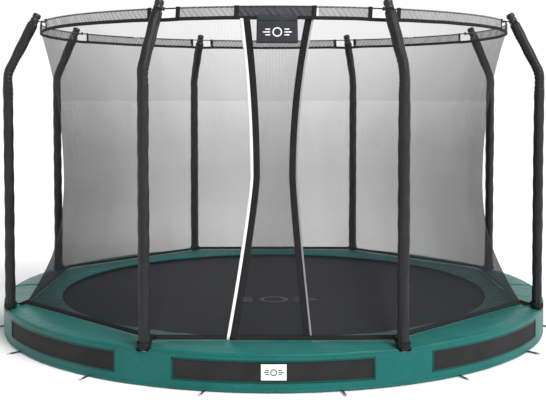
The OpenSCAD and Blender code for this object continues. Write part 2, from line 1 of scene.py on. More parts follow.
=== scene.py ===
import json
import math
import random

import bmesh
import bpy
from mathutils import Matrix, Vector, noise


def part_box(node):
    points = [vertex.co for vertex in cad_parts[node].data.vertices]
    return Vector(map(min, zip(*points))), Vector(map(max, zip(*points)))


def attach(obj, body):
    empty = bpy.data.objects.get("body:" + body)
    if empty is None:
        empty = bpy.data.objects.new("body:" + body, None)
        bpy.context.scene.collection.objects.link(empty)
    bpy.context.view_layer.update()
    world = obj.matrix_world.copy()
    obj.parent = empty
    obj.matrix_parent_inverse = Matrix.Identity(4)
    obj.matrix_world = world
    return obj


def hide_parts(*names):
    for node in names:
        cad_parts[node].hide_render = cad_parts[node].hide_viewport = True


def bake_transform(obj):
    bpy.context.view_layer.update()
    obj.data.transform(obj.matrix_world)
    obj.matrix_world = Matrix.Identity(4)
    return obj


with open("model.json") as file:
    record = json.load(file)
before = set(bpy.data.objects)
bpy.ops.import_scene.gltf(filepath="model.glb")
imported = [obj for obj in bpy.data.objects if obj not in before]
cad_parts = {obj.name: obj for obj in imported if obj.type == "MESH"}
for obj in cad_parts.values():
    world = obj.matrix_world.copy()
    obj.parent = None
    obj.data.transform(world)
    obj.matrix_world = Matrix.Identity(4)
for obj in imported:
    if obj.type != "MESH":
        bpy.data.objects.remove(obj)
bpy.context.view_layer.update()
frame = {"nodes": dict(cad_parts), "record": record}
nodes = frame["nodes"]
print("frame loaded")

# The frame gives the places that every piece below is hung on.
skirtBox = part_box("skirt")
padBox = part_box("spring_pad")
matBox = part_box("mat")
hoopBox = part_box("hoop_rods")
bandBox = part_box("top_band")
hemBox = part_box("net_hem")
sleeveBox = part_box("pole_sleeves")
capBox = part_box("pole_caps")
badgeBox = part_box("badge")
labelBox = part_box("skirt_label")

bays = 8
bayAngle = 360 / bays
halfBay = bayAngle / 2
poleAngles = [bayAngle * k + halfBay for k in range(bays)]

skirtRadius = skirtBox[1].x
padTop = padBox[1].z
padBottom = padBox[0].z
padOuter = padBox[1].x
matRadius = matBox[1].x
matTop = matBox[1].z
rodRadius = (hoopBox[1].z - hoopBox[0].z) / 2
hoopZ = (hoopBox[1].z + hoopBox[0].z) / 2
hoopRadius = hoopBox[1].x - rodRadius
bandBottom = bandBox[0].z
bandTop = bandBox[1].z
hemBottom = hemBox[0].z
sleeveFoot = sleeveBox[0].z
capTop = capBox[1].z

pole = dict(
    inset=0.025,      # from the skirt's outside to the pole's centre line
    sleeve=0.035,     # radius of the padded sleeve
    lean=26.5,        # degrees, above the bend
    bend=0.160,       # radius of the bend
    rise=0.377,       # from the bend to the cap's top
    cap=0.058,        # height of the cap
)
poleRadius = skirtRadius - pole["inset"]

net = dict(
    waistDepth=0.142,    # how far the waist stands inside the hoop
    waistHeight=0.740,   # of the waist, above the pad
    waistPower=2.2,
    cornerPower=1.2,
    strap=0.060,         # from a net corner to the sleeve
    hem=0.022,           # height of the hem
    layers=0.012,        # between the two layers in the entrance
    ripple=0.009,        # depth of the folds in the netting
)
hemTop = hemBottom + net["hem"]
waistRadius = hoopRadius - net["waistDepth"]
waistZ = padTop + net["waistHeight"]
cornerRadius = poleRadius - pole["sleeve"] - net["strap"]
hemSide = cornerRadius * math.cos(math.radians(halfBay))

# Places and meshes.


def around(azimuth, radius, z):
    a = math.radians(azimuth)
    return Vector((radius * math.sin(a), -radius * math.cos(a), z))


def mix(a, b, t):
    return a + (b - a) * t


def smooth(t):
    t = min(1, max(0, t))
    return t * t * (3 - 2 * t)


def steps(low, high, count):
    return [mix(low, high, i / count) for i in range(count + 1)]


def makePiece(name, shape, material, body):
    # shape is (points, faces)
    points, faces = shape
    mesh = bpy.data.meshes.new(name)
    mesh.from_pydata([tuple(p) for p in points], [], faces)
    mesh.update()
    bm = bmesh.new()
    bm.from_mesh(mesh)
    bmesh.ops.recalc_face_normals(bm, faces=bm.faces)
    bm.to_mesh(mesh)
    bm.free()
    mesh.polygons.foreach_set("use_smooth", [True] * len(mesh.polygons))
    mesh.materials.append(material)
    piece = addObject(name, mesh)
    if body:
        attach(piece, body)
    return piece


def gridFaces(rows, columns, start=0, closed=False):
    faces = []
    for j in range(rows):
        for i in range(columns):
            p = start + j * (columns + (0 if closed else 1)) + i
            right = start + j * columns + (i + 1) % columns if closed else p + 1
            width = columns if closed else columns + 1
            faces.append((p, right, right + width, p + width))
    return faces


def sheetOf(rows):
    # rows of points, all as long as each other
    points = [p for row in rows for p in row]
    return points, gridFaces(len(rows) - 1, len(rows[0]) - 1)


def tubeOf(rings, capped=True):
    # closed rings of points, joined into a tube with rounded-off ends
    count = len(rings[0])
    points = [p for ring in rings for p in ring]
    faces = gridFaces(len(rings) - 1, count, closed=True)
    if capped:
        for first, ring in ((0, rings[0]), ((len(rings) - 1) * count, rings[-1])):
            middle = sum(ring, Vector()) / count
            points.append(middle)
            for i in range(count):
                faces.append((first + i, first + (i + 1) % count, len(points) - 1))
    return points, faces


def merge(parts):
    points, faces = [], []
    for somePoints, someFaces in parts:
        start = len(points)
        points.extend(somePoints)
        faces.extend(tuple(start + i for i in face) for face in someFaces)
    return points, faces


def sweep(path, radius, sides, twist=0):
    # a round bar along a path; radius is a number or a function of the share of the way
    rings = []
    side = None
    for i, p in enumerate(path):
        before, after = path[max(i - 1, 0)], path[min(i + 1, len(path) - 1)]
        along = (after - before).normalized()
        if side is None:
            side = along.orthogonal().normalized()
        side = (side - along * side.dot(along)).normalized()
        other = along.cross(side)
        r = radius(i / (len(path) - 1)) if callable(radius) else radius
        turns = [2 * math.pi * k / sides + twist for k in range(sides)]
        rings.append([p + (side * math.cos(t) + other * math.sin(t)) * r for t in turns])
    return tubeOf(rings)


def tape(rows, thick, bulge=3):
    # a flat closed band: rows are (left point, right point, outward direction)
    columns = 6
    rings = []
    for left, right, out in rows:
        front, back = [], []
        for i in range(columns + 1):
            u = i / columns
            height = thick / 2 * (1 - abs(2 * u - 1) ** (2 * bulge)) ** 0.5
            p = left.lerp(right, u)
            front.append(p + out * height)
            back.append(p - out * height)
        rings.append(front + back[-2:0:-1])
    return tubeOf(rings)


def ribbon(values, left, right, outward, thick):
    # a tape whose two edges and outward direction are functions of one value
    return tape([(left(v), right(v), outward(v)) for v in values], thick)


def outwardAt(azimuth):
    return around(azimuth, 1, 0)


def addObject(name, data):
    made = bpy.data.objects.new(name, data)
    bpy.context.scene.collection.objects.link(made)
    return made


def thicken(piece, thickness, offset=0):
    solid = piece.modifiers.new("thickness", "SOLIDIFY")
    solid.thickness = thickness
    solid.offset = offset


def soften(piece):
    rounding = piece.modifiers.new("soften", "SUBSURF")
    rounding.levels = 1
    rounding.render_levels = 1


def areaOf(piece):
    return sum(p.area for p in piece.data.polygons)


def declareCloth(piece, width, length, withPieces=(), layers=1):
    area = min(areaOf(piece) / layers * 0.985, width * length)


# Materials.


class Wire:
    # one socket, with sums on it

    def __init__(self, shader, socket):
        self.shader = shader
        self.socket = socket

    def maths(self, operation, *values):
        return self.shader.node("ShaderNodeMath", {"operation": operation}, values)

    def __add__(self, other):
        return self.maths("ADD", self, other)

    def __radd__(self, other):
        return self.maths("ADD", other, self)

    def __sub__(self, other):
        return self.maths("SUBTRACT", self, other)

    def __rsub__(self, other):
        return self.maths("SUBTRACT", other, self)

    def __mul__(self, other):
        return self.maths("MULTIPLY", self, other)

    def __rmul__(self, other):
        return self.maths("MULTIPLY", other, self)

    def __truediv__(self, other):
        return self.maths("DIVIDE", self, other)


socketNames = dict(
    colour="Base Color", roughness="Roughness", metallic="Metallic", alpha="Alpha",
    specular="Specular IOR Level", normal="Normal", emission="Emission Color",
    glow="Emission Strength")


class Shader:
    def __init__(self, name, owner=None):
        # the nodes of a new material, or of the world
        self.owner = owner or bpy.data.materials.new(name)
        self.owner.use_nodes = True
        self.tree = self.owner.node_tree
        self.tree.nodes.clear()

    def node(self, kind, settings=None, inputs=(), output=0):
        made = self.tree.nodes.new(kind)
        for key, value in (settings or {}).items():
            if key == "stops":
                ramp = made.color_ramp.elements
                while len(ramp) < len(value):
                    ramp.new(0.5)
                for element, (place, colour) in zip(ramp, value):
                    element.position = place
                    element.color = (*colour, 1)
            else:
                setattr(made, key, value)
        pairs = inputs.items() if isinstance(inputs, dict) else enumerate(inputs)
        for key, value in pairs:
            if isinstance(value, Wire):
                self.tree.links.new(value.socket, made.inputs[key])
            elif isinstance(value, tuple) and made.inputs[key].type == "RGBA":
                made.inputs[key].default_value = (*value, 1)
            else:
                made.inputs[key].default_value = value
        return Wire(self, made.outputs[output]) if made.outputs else None

    def place(self):
        return self.node("ShaderNodeTexCoord", output="Object")

    def axes(self):
        where = self.place()
        return [self.node("ShaderNodeSeparateXYZ", inputs=[where], output=n) for n in "XYZ"]

    def arc(self, radius):
        # metres round the object, from the entrance, and the height
        x, y, z = self.axes()
        return x.maths("ARCTAN2", x, y * -1) * radius, z

    def noise(self, scale, detail=3, roughness=0.5, at=None):
        return self.node("ShaderNodeTexNoise", inputs={
            "Vector": at or self.place(), "Scale": scale, "Detail": detail,
            "Roughness": roughness})

    def stretched(self, x, y, z):
        return self.node("ShaderNodeVectorMath", {"operation": "MULTIPLY"},
                         [self.place(), (x, y, z)])

    def wave(self, value, period):
        return self.node("ShaderNodeMath", {"operation": "SINE"}, [value * (2 * math.pi / period)])

    def blend(self, factor, a, b):
        return self.node("ShaderNodeMix", {"data_type": "RGBA"}, {0: factor, 6: a, 7: b},
                         output=2)

    def limit(self, value, low, high):
        return self.node("ShaderNodeClamp", inputs=[value, low, high])

    def bump(self, height, strength, distance):
        return self.node("ShaderNodeBump", inputs={
            "Height": height, "Strength": strength, "Distance": distance})

    def finish(self, **values):
        surface = self.node("ShaderNodeBsdfPrincipled", inputs={
            socketNames[key]: value for key, value in values.items()})
        self.node("ShaderNodeOutputMaterial", inputs={"Surface": surface})
        return self.owner


vinyl = dict(
    deep=(0.003, 0.078, 0.072), light=(0.009, 0.175, 0.154), weave=0.0016, roughness=0.38)


def coatedVinyl(name, darken=1.0):
    s = Shader(name)
    x, y, z = s.axes()
    clouds = s.noise(2.4, 4)
    fine = s.noise(38, 5, 0.65)
    scuffs = s.noise(14, 6, 0.7, s.stretched(1, 1, 3))
    threads = s.wave(x + y, vinyl["weave"]) * s.wave(x - y + z, vinyl["weave"])
    deep = tuple(c * darken for c in vinyl["deep"])
    light = tuple(c * darken for c in vinyl["light"])
    tint = s.limit(clouds * 0.9 + fine * 0.35 - 0.12, 0, 1)
    colour = s.blend(tint, deep, light)
    dust = s.limit((scuffs - 0.58) * 2.0, 0, 0.25)
    colour = s.blend(dust, colour, tuple(c * 1.6 + 0.008 for c in light))
    height = fine * 0.7 + threads * 0.12 + s.noise(7, 3) * 1.6
    return s.finish(
        colour=colour,
        roughness=s.limit(vinyl["roughness"] + (fine - 0.5) * 0.25 + dust * 0.5, 0.2, 0.8),
        specular=0.20,
        normal=s.bump(height, 0.28, 0.004))


def sleeveCloth():
    s = Shader("sleeve_cloth")
    x, y, z = s.axes()
    weave = s.wave(x * 1.3 + y, 0.0022) * s.wave(z, 0.0022)
    creases = s.noise(26, 5, 0.6, s.stretched(1, 1, 0.6))
    wear = s.noise(9, 4)
    colour = s.blend(s.limit(creases * 0.7 + wear * 0.5 - 0.1, 0, 1),
                     (0.006, 0.006, 0.007), (0.023, 0.023, 0.025))
    return s.finish(
        colour=colour, specular=0.22,
        roughness=s.limit(0.44 + (wear - 0.5) * 0.3, 0.3, 0.7),
        normal=s.bump(creases * 1.0 + weave * 0.08, 0.35, 0.004))


netShade = dict(
    start=0.95,     # above the waist, where the netting starts to grow more opaque
    over=0.75,      # height over which it does
    side=0.14,      # more opaque towards the left and the right
    foot=0.02)


def netting(name, threads, upperOpacity, lowerOpacity, period=0.0042):
    # an open knit: upright threads and slanted ties, growing more opaque lower down
    s = Shader(name)
    arc, z = s.arc(1.5)
    x = s.axes()[0]
    upright = s.wave(arc, period)
    slant = s.wave(arc + z, period * 1.6) + s.wave(arc - z, period * 1.6)
    yarn = s.limit(upright * 0.5 + slant * 0.28 + 0.5, 0, 1)
    low = s.limit((waistZ + netShade["start"] - z) / netShade["over"], 0, 1)
    patches = s.noise(3.2, 3, 0.5, s.stretched(1, 1, 0.35))
    base = upperOpacity + (lowerOpacity - upperOpacity) * low + (patches - 0.5) * 0.12 + x * x * netShade["side"]
    base = base + s.limit((1.0 - z) * 0.3, 0, netShade["foot"])
    alpha = s.limit(base + (yarn - 0.5) * 0.34, 0.02, 1)
    colour = s.blend(yarn, tuple(c * 0.6 for c in threads), threads)
    return s.finish(colour=colour, roughness=0.8, alpha=alpha, specular=0.1)


def webbing(name, dark, light, rib=0.0032):
    s = Shader(name)
    x, y, z = s.axes()
    ribs = s.wave(x + y * 0.7 + z, rib) * s.wave(x - y * 0.7 - z * 0.8, rib)
    fuzz = s.noise(60, 4)
    colour = s.blend(s.limit(ribs * 0.3 + fuzz * 0.9 - 0.1, 0, 1), dark, light)
    return s.finish(colour=colour, roughness=s.limit(0.62 + fuzz * 0.2, 0.5, 0.9),
                    specular=0.15,
                    normal=s.bump(ribs * 0.5 + fuzz * 0.5, 0.5, 0.0012))


def matWeave():
    s = Shader("mat_weave")
    x, y, z = s.axes()
    weave = s.wave(x, 0.0036) * s.wave(y, 0.0036)
    cloud = s.noise(1.7, 4)
    sheenStreak = s.noise(11, 4, 0.6, s.stretched(0.25, 3, 1))
    # the lighter streaks in the colour are a painted sheen on the weave
    colour = s.blend(s.limit(cloud * 0.7 + sheenStreak * 0.45 + weave * 0.12 - 0.08, 0, 1),
                     (0.010, 0.010, 0.012), (0.030, 0.031, 0.035))
    return s.finish(colour=colour, specular=0.12,
                    roughness=s.limit(0.62 + (sheenStreak - 0.5) * 0.3, 0.4, 0.8),
                    normal=s.bump(weave * 0.5 + cloud * 0.5, 0.3, 0.0015))


def windowMesh():
    s = Shader("window_mesh")
    arc, z = s.arc(skirtRadius)
    knit = s.wave(arc, 0.0048) * s.wave(z, 0.0048)
    cloud = s.noise(6, 4)
    colour = s.blend(s.limit(knit * 0.45 + cloud * 0.7 + 0.05, 0, 1),
                     (0.008, 0.008, 0.009), (0.040, 0.038, 0.040))
    return s.finish(colour=colour, roughness=s.limit(0.7 + knit * 0.1, 0.5, 0.9),
                    specular=0.12,
                    normal=s.bump(knit, 0.5, 0.001))


def bandNet(name, dark, light, low, high):
    s = Shader(name)
    arc, z = s.arc(hoopRadius)
    folds = s.wave(arc + z * 0.8, 0.031) * 0.5 + 0.5
    blur = s.noise(15, 3)
    colour = s.blend(s.limit(folds * 0.6 + blur * 0.5, 0, 1), dark, light)
    alpha = s.limit(low + (high - low) * (folds * 0.6 + blur * 0.6), 0, 1)
    return s.finish(colour=colour, roughness=0.7, alpha=alpha, specular=0.15)


def metal(name, dark, light, rough, spangle=0.0, scale=40):
    s = Shader(name)
    crystals = s.node("ShaderNodeTexVoronoi", {"feature": "F1"}, {
        "Vector": s.place(), "Scale": scale}, output="Distance")
    stains = s.noise(9, 5, 0.6)
    brush = s.noise(120, 3, 0.6, s.stretched(0.2, 0.2, 1))
    tone = s.limit(crystals * spangle + stains * 0.7 + brush * 0.25 - 0.1, 0, 1)
    return s.finish(colour=s.blend(tone, dark, light), metallic=1.0,
                    roughness=s.limit(rough + (stains - 0.5) * 0.3, 0.12, 0.8),
                    normal=s.bump(brush, 0.12, 0.001))


def plastic(name, dark, light, rough, grain=260):
    s = Shader(name)
    pores = s.noise(grain, 3, 0.6)
    wear = s.noise(11, 4)
    return s.finish(colour=s.blend(s.limit(wear * 0.9 + pores * 0.2, 0, 1), dark, light),
                    roughness=s.limit(rough + (wear - 0.5) * 0.25, 0.2, 0.9),
                    specular=0.3, normal=s.bump(pores, 0.08, 0.0005))


def printedCloth(name, dark, light):
    s = Shader(name)
    arc, z = s.arc(1.7)
    weave = s.wave(arc, 0.0025) * s.wave(z, 0.0025)
    soft = s.noise(20, 4)
    return s.finish(colour=s.blend(s.limit(soft * 0.8 + weave * 0.15 + 0.1, 0, 1), dark, light),
                    roughness=s.limit(0.5 + (soft - 0.5) * 0.2, 0.3, 0.8),
                    specular=0.25,
                    normal=s.bump(weave * 0.4 + soft, 0.25, 0.001))


tealVinyl = coatedVinyl("teal_vinyl")
skirtVinyl = coatedVinyl("skirt_vinyl", 0.82)
tealBinding = coatedVinyl("teal_binding", 0.35)
sleeveMaterial = sleeveCloth()
netMaterial = netting("safety_net", (0.026, 0.027, 0.030), 0.12, 0.35)
blackWebbing = webbing("black_webbing", (0.006, 0.006, 0.007), (0.026, 0.026, 0.028))
whiteTape = webbing("white_tape", (0.72, 0.72, 0.71), (0.88, 0.88, 0.87))
greyTape = webbing("grey_tape", (0.48, 0.48, 0.48), (0.66, 0.66, 0.66))
matMaterial = matWeave()
windowMaterial = windowMesh()
bandMaterial = bandNet("band_net", (0.04, 0.04, 0.045), (0.17, 0.17, 0.18), 0.42, 0.80)
darkBand = bandNet("dark_band", (0.012, 0.012, 0.014), (0.045, 0.045, 0.050), 0.90, 1.0)
galvanised = metal("galvanised_tube", (0.40, 0.42, 0.43), (0.66, 0.68, 0.69), 0.42, 0.5)
zincBracket = metal("zinc_bracket", (0.33, 0.34, 0.35), (0.56, 0.57, 0.58), 0.5, 0.3, 60)
zincHardware = metal("zinc_hardware", (0.52, 0.52, 0.50), (0.74, 0.74, 0.72), 0.3, 0.2, 90)
springSteel = metal("spring_steel", (0.55, 0.56, 0.57), (0.80, 0.80, 0.80), 0.25, 0.1, 120)
blackPlastic = plastic("black_plastic", (0.008, 0.008, 0.009), (0.030, 0.030, 0.032), 0.42)
blackRubber = plastic("black_rubber", (0.012, 0.012, 0.012), (0.040, 0.040, 0.040), 0.75, 120)
fibreglass = plastic("hoop_fibreglass", (0.010, 0.010, 0.011), (0.034, 0.034, 0.036), 0.35, 400)
labelCloth = printedCloth("white_vinyl", (0.70, 0.70, 0.70), (0.86, 0.86, 0.85))
badgeCloth = printedCloth("badge_vinyl", (0.012, 0.013, 0.015), (0.034, 0.035, 0.040))
greyPrint = printedCloth("grey_print", (0.13, 0.13, 0.135), (0.22, 0.22, 0.225))
blackPrint = printedCloth("black_print", (0.010, 0.010, 0.010), (0.025, 0.025, 0.025))

finishes = {
    "galvanised_tube": galvanised, "zinc_bracket": zincBracket, "zinc_hardware": zincHardware,
    "black_rubber": blackRubber, "black_plastic": blackPlastic, "spring_steel": springSteel,
    "black_webbing": blackWebbing, "hoop_fibreglass": fibreglass,
}
for part in frame["record"]["subparts"]:
    if part["material_slot"] in finishes:
        mesh = nodes[part["node"]].data
        mesh.materials.clear()
        mesh.materials.append(finishes[part["material_slot"]])
print("materials made")

# The net's surface.


def sideRadius(z):
    if z > waistZ:
        return waistRadius + (hoopRadius - waistRadius) * (
            (z - waistZ) / (bandBottom - waistZ)) ** net["waistPower"]
    return waistRadius + (hemSide - waistRadius) * (
        (waistZ - z) / (waistZ - hemBottom)) ** net["waistPower"]


def squareness(z):
    if z > waistZ:
        return 0
    return ((waistZ - z) / (waistZ - hemBottom)) ** net["cornerPower"]


def netRadius(azimuth, z):
    off = azimuth - bayAngle * round(azimuth / bayAngle)
    flat = 1 / math.cos(math.radians(off)) - 1
    return sideRadius(z) * (1 + squareness(z) * flat)


def ripple(azimuth, z):
    # upright folds that die out at the band and at the hem
    t = (z - hemTop) / (bandBottom - hemTop)
    if not 0 < t < 1:
        return 0
    a = math.radians(azimuth)
    spot = Vector((math.sin(a), math.cos(a), 0))
    wide = noise.noise(spot * 5.5 + Vector((0, 0, z * 0.55)))
    narrow = noise.noise(spot * 15 + Vector((3, 1, z * 0.8)))
    return net["ripple"] * (wide * 1.7 + narrow * 0.7) * (4 * t * (1 - t)) ** 0.6


def netPoint(azimuth, z, out=0.0):
    return around(azimuth, netRadius(azimuth, z) + out + ripple(azimuth, z), z)


def azimuthAt(x, z):
    a = 0
    for _ in range(4):
        a = math.degrees(math.asin(x / netRadius(a, z)))
    return a


def netSheet(name, zs, left, right, columns, material, body, out=0.0):
    # left, right: azimuth by height; out: a number or a function of azimuth
    rows = []
    for z in zs:
        azimuths = steps(left(z), right(z), columns)
        rows.append([netPoint(a, z, out(a) if callable(out) else out) for a in azimuths])
    return makePiece(name, sheetOf(rows), material, body)


def netTape(zs, left, right, out, thick):
    return ribbon(zs, lambda z: netPoint(left(z), z, out), lambda z: netPoint(right(z), z, out),
                  lambda z: outwardAt((left(z) + right(z)) / 2), thick)


def ringTape(azimuths, low, high, out, thick):
    # a level band that follows the net's surface
    offset = out if callable(out) else lambda a: out
    return ribbon(azimuths, lambda a: netPoint(a, low, offset(a)),
                  lambda a: netPoint(a, high, offset(a)), outwardAt, thick)


netRows = steps(hemTop - 0.004, bandBottom + 0.006, 64)
hemPieces = []
netPieces = {}
for name, first, count in (("net_left", 5, 3), ("net_back", 4, 1), ("net_right", 1, 3)):
    start = bayAngle * first - halfBay
    end = start + count * bayAngle
    netPieces[name] = netSheet(name + "_cloth", netRows, lambda z: start, lambda z: end,
                               count * 44, netMaterial, "root")
    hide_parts(name)

# The entrance.

entrance = dict(
    outerEdge=(-0.160, -0.110, -0.235),   # free edge at the top, at its waist and at the hem
    innerEdge=(0.203, 0.121, 0.197),
    edgeWaist=0.868,                      # height of the edges' waist above the pad
    foldStart=0.020,                      # from the outer edge to its fold line, at the top
    foldBottom=0.520,
    innerFold=0.400,                      # the inner flap folds on an upright line
    foldSoft=0.070,                       # half of the cloth's width that bends at a fold
    blackTape=0.036,
    outerStripe=0.018,
    innerStripe=0.011,
)
edgeZ = padTop + entrance["edgeWaist"]


def edgeX(z, edge):
    top, waist, bottom = edge
    if z > edgeZ:
        return mix(waist, top, ((z - edgeZ) / (bandBottom - edgeZ)) ** 2)
    return mix(waist, bottom, ((edgeZ - z) / (edgeZ - hemBottom)) ** 1.2)


def outerEdge(z, shift=0.0):
    return azimuthAt(edgeX(z, entrance["outerEdge"]) + shift, z)


def innerEdge(z, shift=0.0):
    return azimuthAt(edgeX(z, entrance["innerEdge"]) + shift, z)


def layerOut(azimuth):
    # the outer layer comes back to the net's own surface at the pole
    return net["layers"] * (1 - smooth((azimuth - 14) / (halfBay - 14)))


def blendFlap(piece, side):
    # side is 1 for the outer flap, whose fold line leans to the left going up
    body = "outer_flap" if side > 0 else "inner_flap"
    low = Vector((entrance["foldBottom"], 0, hemBottom))
    high = Vector((entrance["outerEdge"][0] + entrance["foldStart"], 0, bandBottom))
    if side < 0:
        low = Vector((-entrance["innerFold"], 0, hemBottom))
        high = Vector((-entrance["innerFold"], 0, bandBottom))
    along = (high - low).normalized()
    towards = Vector((-side * along.z, 0, side * along.x))
    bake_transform(piece)


outerPanel = netSheet("outer_entrance_panel", netRows, lambda z: outerEdge(z),
                      lambda z: halfBay, 56, netMaterial, None, layerOut)
innerPanel = netSheet("inner_entrance_panel", netRows, lambda z: -halfBay,
                      lambda z: innerEdge(z), 56, netMaterial, None)
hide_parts("net_front_right", "outer_flap")
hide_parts("net_front_left", "inner_flap")

tapeRows = steps(hemBottom, bandBottom + 0.004, 70)
black = entrance["blackTape"]
bindings = []
for name, side, edge, out, stripeCloth in (
        ("outer", 1, outerEdge, net["layers"] + 0.001, whiteTape),
        ("inner", -1, innerEdge, -0.001, greyTape)):
    white = entrance[name + "Stripe"]
    binding = makePiece(name + "_flap_binding", netTape(
        tapeRows, lambda z: edge(z, 0 if side > 0 else -black),
        lambda z: edge(z, black if side > 0 else 0), out, 0.004), blackWebbing, None)
    stripe = makePiece(name + "_flap_stripe", netTape(
        tapeRows, lambda z: edge(z, -white if side > 0 else 0),
        lambda z: edge(z, 0 if side > 0 else white), out, 0.003), stripeCloth, None)
    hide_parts("flap_bindings_" + name)
    bindings.extend([binding, stripe])
    blendFlap(binding, side)
    blendFlap(stripe, side)

# Hem, and the straps that tie its corners to the poles.

hemThick = 0.005
fullRound = steps(halfBay, 360 - halfBay, 7 * 24)
netHem = makePiece("net_hem_band", ringTape(fullRound, hemBottom, hemTop, 0.0, hemThick),
                   blackWebbing, "root")
hemPieces.append(netHem)
for name, azimuths, out, side in (
        ("outer_flap_hem", steps(outerEdge(hemBottom), halfBay, 40), layerOut, 1),
        ("inner_flap_hem", steps(-halfBay, innerEdge(hemBottom), 40), 0.0, -1)):
    flapHem = makePiece(name, ringTape(azimuths, hemBottom, hemTop, out, hemThick),
                        blackWebbing, None)
    hemPieces.append(flapHem)
    blendFlap(flapHem, side)

strap = dict(width=0.025, thick=0.003, loops=40)
strapParts = []
for angle in poleAngles:
    outward = around(angle, 1, 0)
    sideways = Vector((-outward.y, outward.x, 0))
    near = around(angle, cornerRadius - 0.010, hemBottom + strap["width"] / 2)
    far = around(angle, poleRadius - pole["sleeve"] - 0.002, padTop + 0.012)
    rows = []
    for t in steps(0, 1, 14):
        middle = near.lerp(far, t) + Vector((0, 0, -0.006 * math.sin(math.pi * t)))
        turn = mix(0, 70, smooth(t))
        up = Vector((0, 0, math.cos(math.radians(turn)))) + sideways * math.sin(
            math.radians(turn)) * 0.9
        half = up.normalized() * strap["width"] / 2
        rows.append((middle - half, middle + half, outward.cross(up).normalized()))
    strapParts.append(tape(rows, strap["thick"]))
    loop = []
    centre = around(angle, poleRadius, 0)
    for turn in steps(0, 360, strap["loops"]):
        a = math.radians(turn)
        ray = Vector((math.cos(a), math.sin(a), 0))
        tilt = 0.006 * ray.dot(outward)
        foot = centre + ray * (pole["sleeve"] + 0.0035)
        base = padTop - 0.004 - tilt
        loop.append((foot + Vector((0, 0, base)),
                     foot + Vector((0, 0, base + strap["width"])), ray))
    strapParts.append(tape(loop, strap["thick"]))
straps = makePiece("corner_straps", merge(strapParts), blackWebbing, "root")
hemPieces.append(straps)
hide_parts("net_hem")

# Top band and badge.

band = dict(gap=3.2, pleat=0.0035, pleatWidth=0.040, hem=0.020, strip=0.026,
            darkLeft=-0.200, darkRight=0.213, gapRight=0.240)
bandRadius = hoopRadius + rodRadius + 0.003


def bandPoint(azimuth, z, out=0.0):
    arc = math.radians(azimuth) * bandRadius
    t = (z - bandBottom) / (bandTop - bandBottom)
    wide = noise.noise(Vector((arc * 7, z * 5, 2)))
    pleats = math.sin(2 * math.pi * (arc + z * 0.8) / band["pleatWidth"] + wide * 4)
    depth = band["pleat"] * pleats * math.sin(math.pi * min(1, max(0, t)))
    return around(azimuth, bandRadius + depth + out, z)


def bandSheet(name, first, last, material):
    columns = max(12, round((last - first) * 5))
    rows = [[bandPoint(a, z) for a in steps(first, last, columns)]
            for z in steps(bandBottom + 0.006, bandTop, 10)]
    piece = makePiece(name, sheetOf(rows), material, "root")
    arc = math.radians(last - first) * bandRadius
    declareCloth(piece, arc * 1.12, (bandTop - bandBottom) * 1.03)
    return piece


def xAngle(x):
    return math.degrees(math.asin(x / bandRadius))


def bandStrip(azimuth):
    # the stiff tape that ends a stretch of band, a little aslant
    half = math.degrees(band["strip"] / 2 / bandRadius)
    rows = []
    for z in steps(bandBottom, bandTop + 0.002, 8):
        lean = 0.15 * (z - bandBottom) / (bandTop - bandBottom)
        rows.append((around(azimuth - half + lean, bandRadius + 0.002, z),
                     around(azimuth + half + lean, bandRadius + 0.002, z),
                     around(azimuth, 1, 0)))
    return tape(rows, 0.004)


stripParts = []
reach = halfBay - band["gap"]
firstBand = None
for k in range(bays):
    middle = k * bayAngle
    spans = [(-reach, reach, bandMaterial, "")]
    if k == 0:
        spans = [(-reach, xAngle(band["darkLeft"]), bandMaterial, "_left"),
                 (xAngle(band["darkLeft"]), xAngle(band["darkRight"]), darkBand, "_middle"),
                 (xAngle(band["gapRight"]), reach, bandMaterial, "_right")]
    for first, last, material, tail in spans:
        piece = bandSheet("band_%d%s" % (k + 1, tail), middle + first, middle + last, material)
        firstBand = firstBand or piece
    stripParts.extend(bandStrip(middle + side * reach) for side in (-1, 1))
stripParts.append(bandStrip(xAngle(band["darkLeft"])))
stripParts.append(bandStrip(xAngle(band["darkRight"])))
makePiece("band_end_strips", merge(stripParts), blackWebbing, "root")
hemRows = []
for a in steps(0, 360, 8 * 36):
    off = abs(a % bayAngle - halfBay)     # from the nearest pole
    dip = 0.004 * (1 - smooth(off / 6))
    wander = 0.0015 * noise.noise(around(a, 9, 0))
    low = bandBottom - 0.002 - dip + wander
    hemRows.append((around(a, bandRadius + 0.001, low),
                    around(a, bandRadius + 0.001, low + band["hem"]), around(a, 1, 0)))
makePiece("band_hem", tape(hemRows, 0.005), blackWebbing, "root")
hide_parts("top_band")

badge = dict(out=0.019, thick=0.002)
badgeMiddle = (badgeBox[0].x + badgeBox[1].x) / 2
badgeHalf = (badgeBox[1].x - badgeBox[0].x) / 2
badgeLow, badgeHigh = badgeBox[0].z, badgeBox[1].z


def badgePoint(x, z, out=0.0):
    # hangs straight down off the band
    a = azimuthAt(x, z)
    drop = (badgeHigh - z) * 0.06
    return around(a, netRadius(a, bandBottom) + badge["out"] + out - drop, z)


rows = []
for z in steps(badgeLow, badgeHigh, 14):
    line = []
    for x in steps(badgeMiddle - badgeHalf, badgeMiddle + badgeHalf, 20):
        curl = 0.002 * noise.noise(Vector((x * 14, z * 14, 5)))
        line.append(badgePoint(x, z, curl))
    rows.append(line)
badgePiece = makePiece("badge_flag", sheetOf(rows), badgeCloth, "root")
thicken(badgePiece, badge["thick"])
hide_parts("badge")


def printRing(at, radius, width, sides=40, height=0.0008):
    # a printed ring: at(u, v) gives a point of the surface, and how far proud it stands
    inner = [(math.cos(t), math.sin(t)) for t in
             [2 * math.pi * k / sides for k in range(sides)]]
    rings = []
    for r, out in ((radius - width, 0), (radius - width, height), (radius, height), (radius, 0)):
        rings.append([at(r * c, r * s, out) for c, s in inner])
    rings.append(rings[0])
    return tubeOf(rings, capped=False)


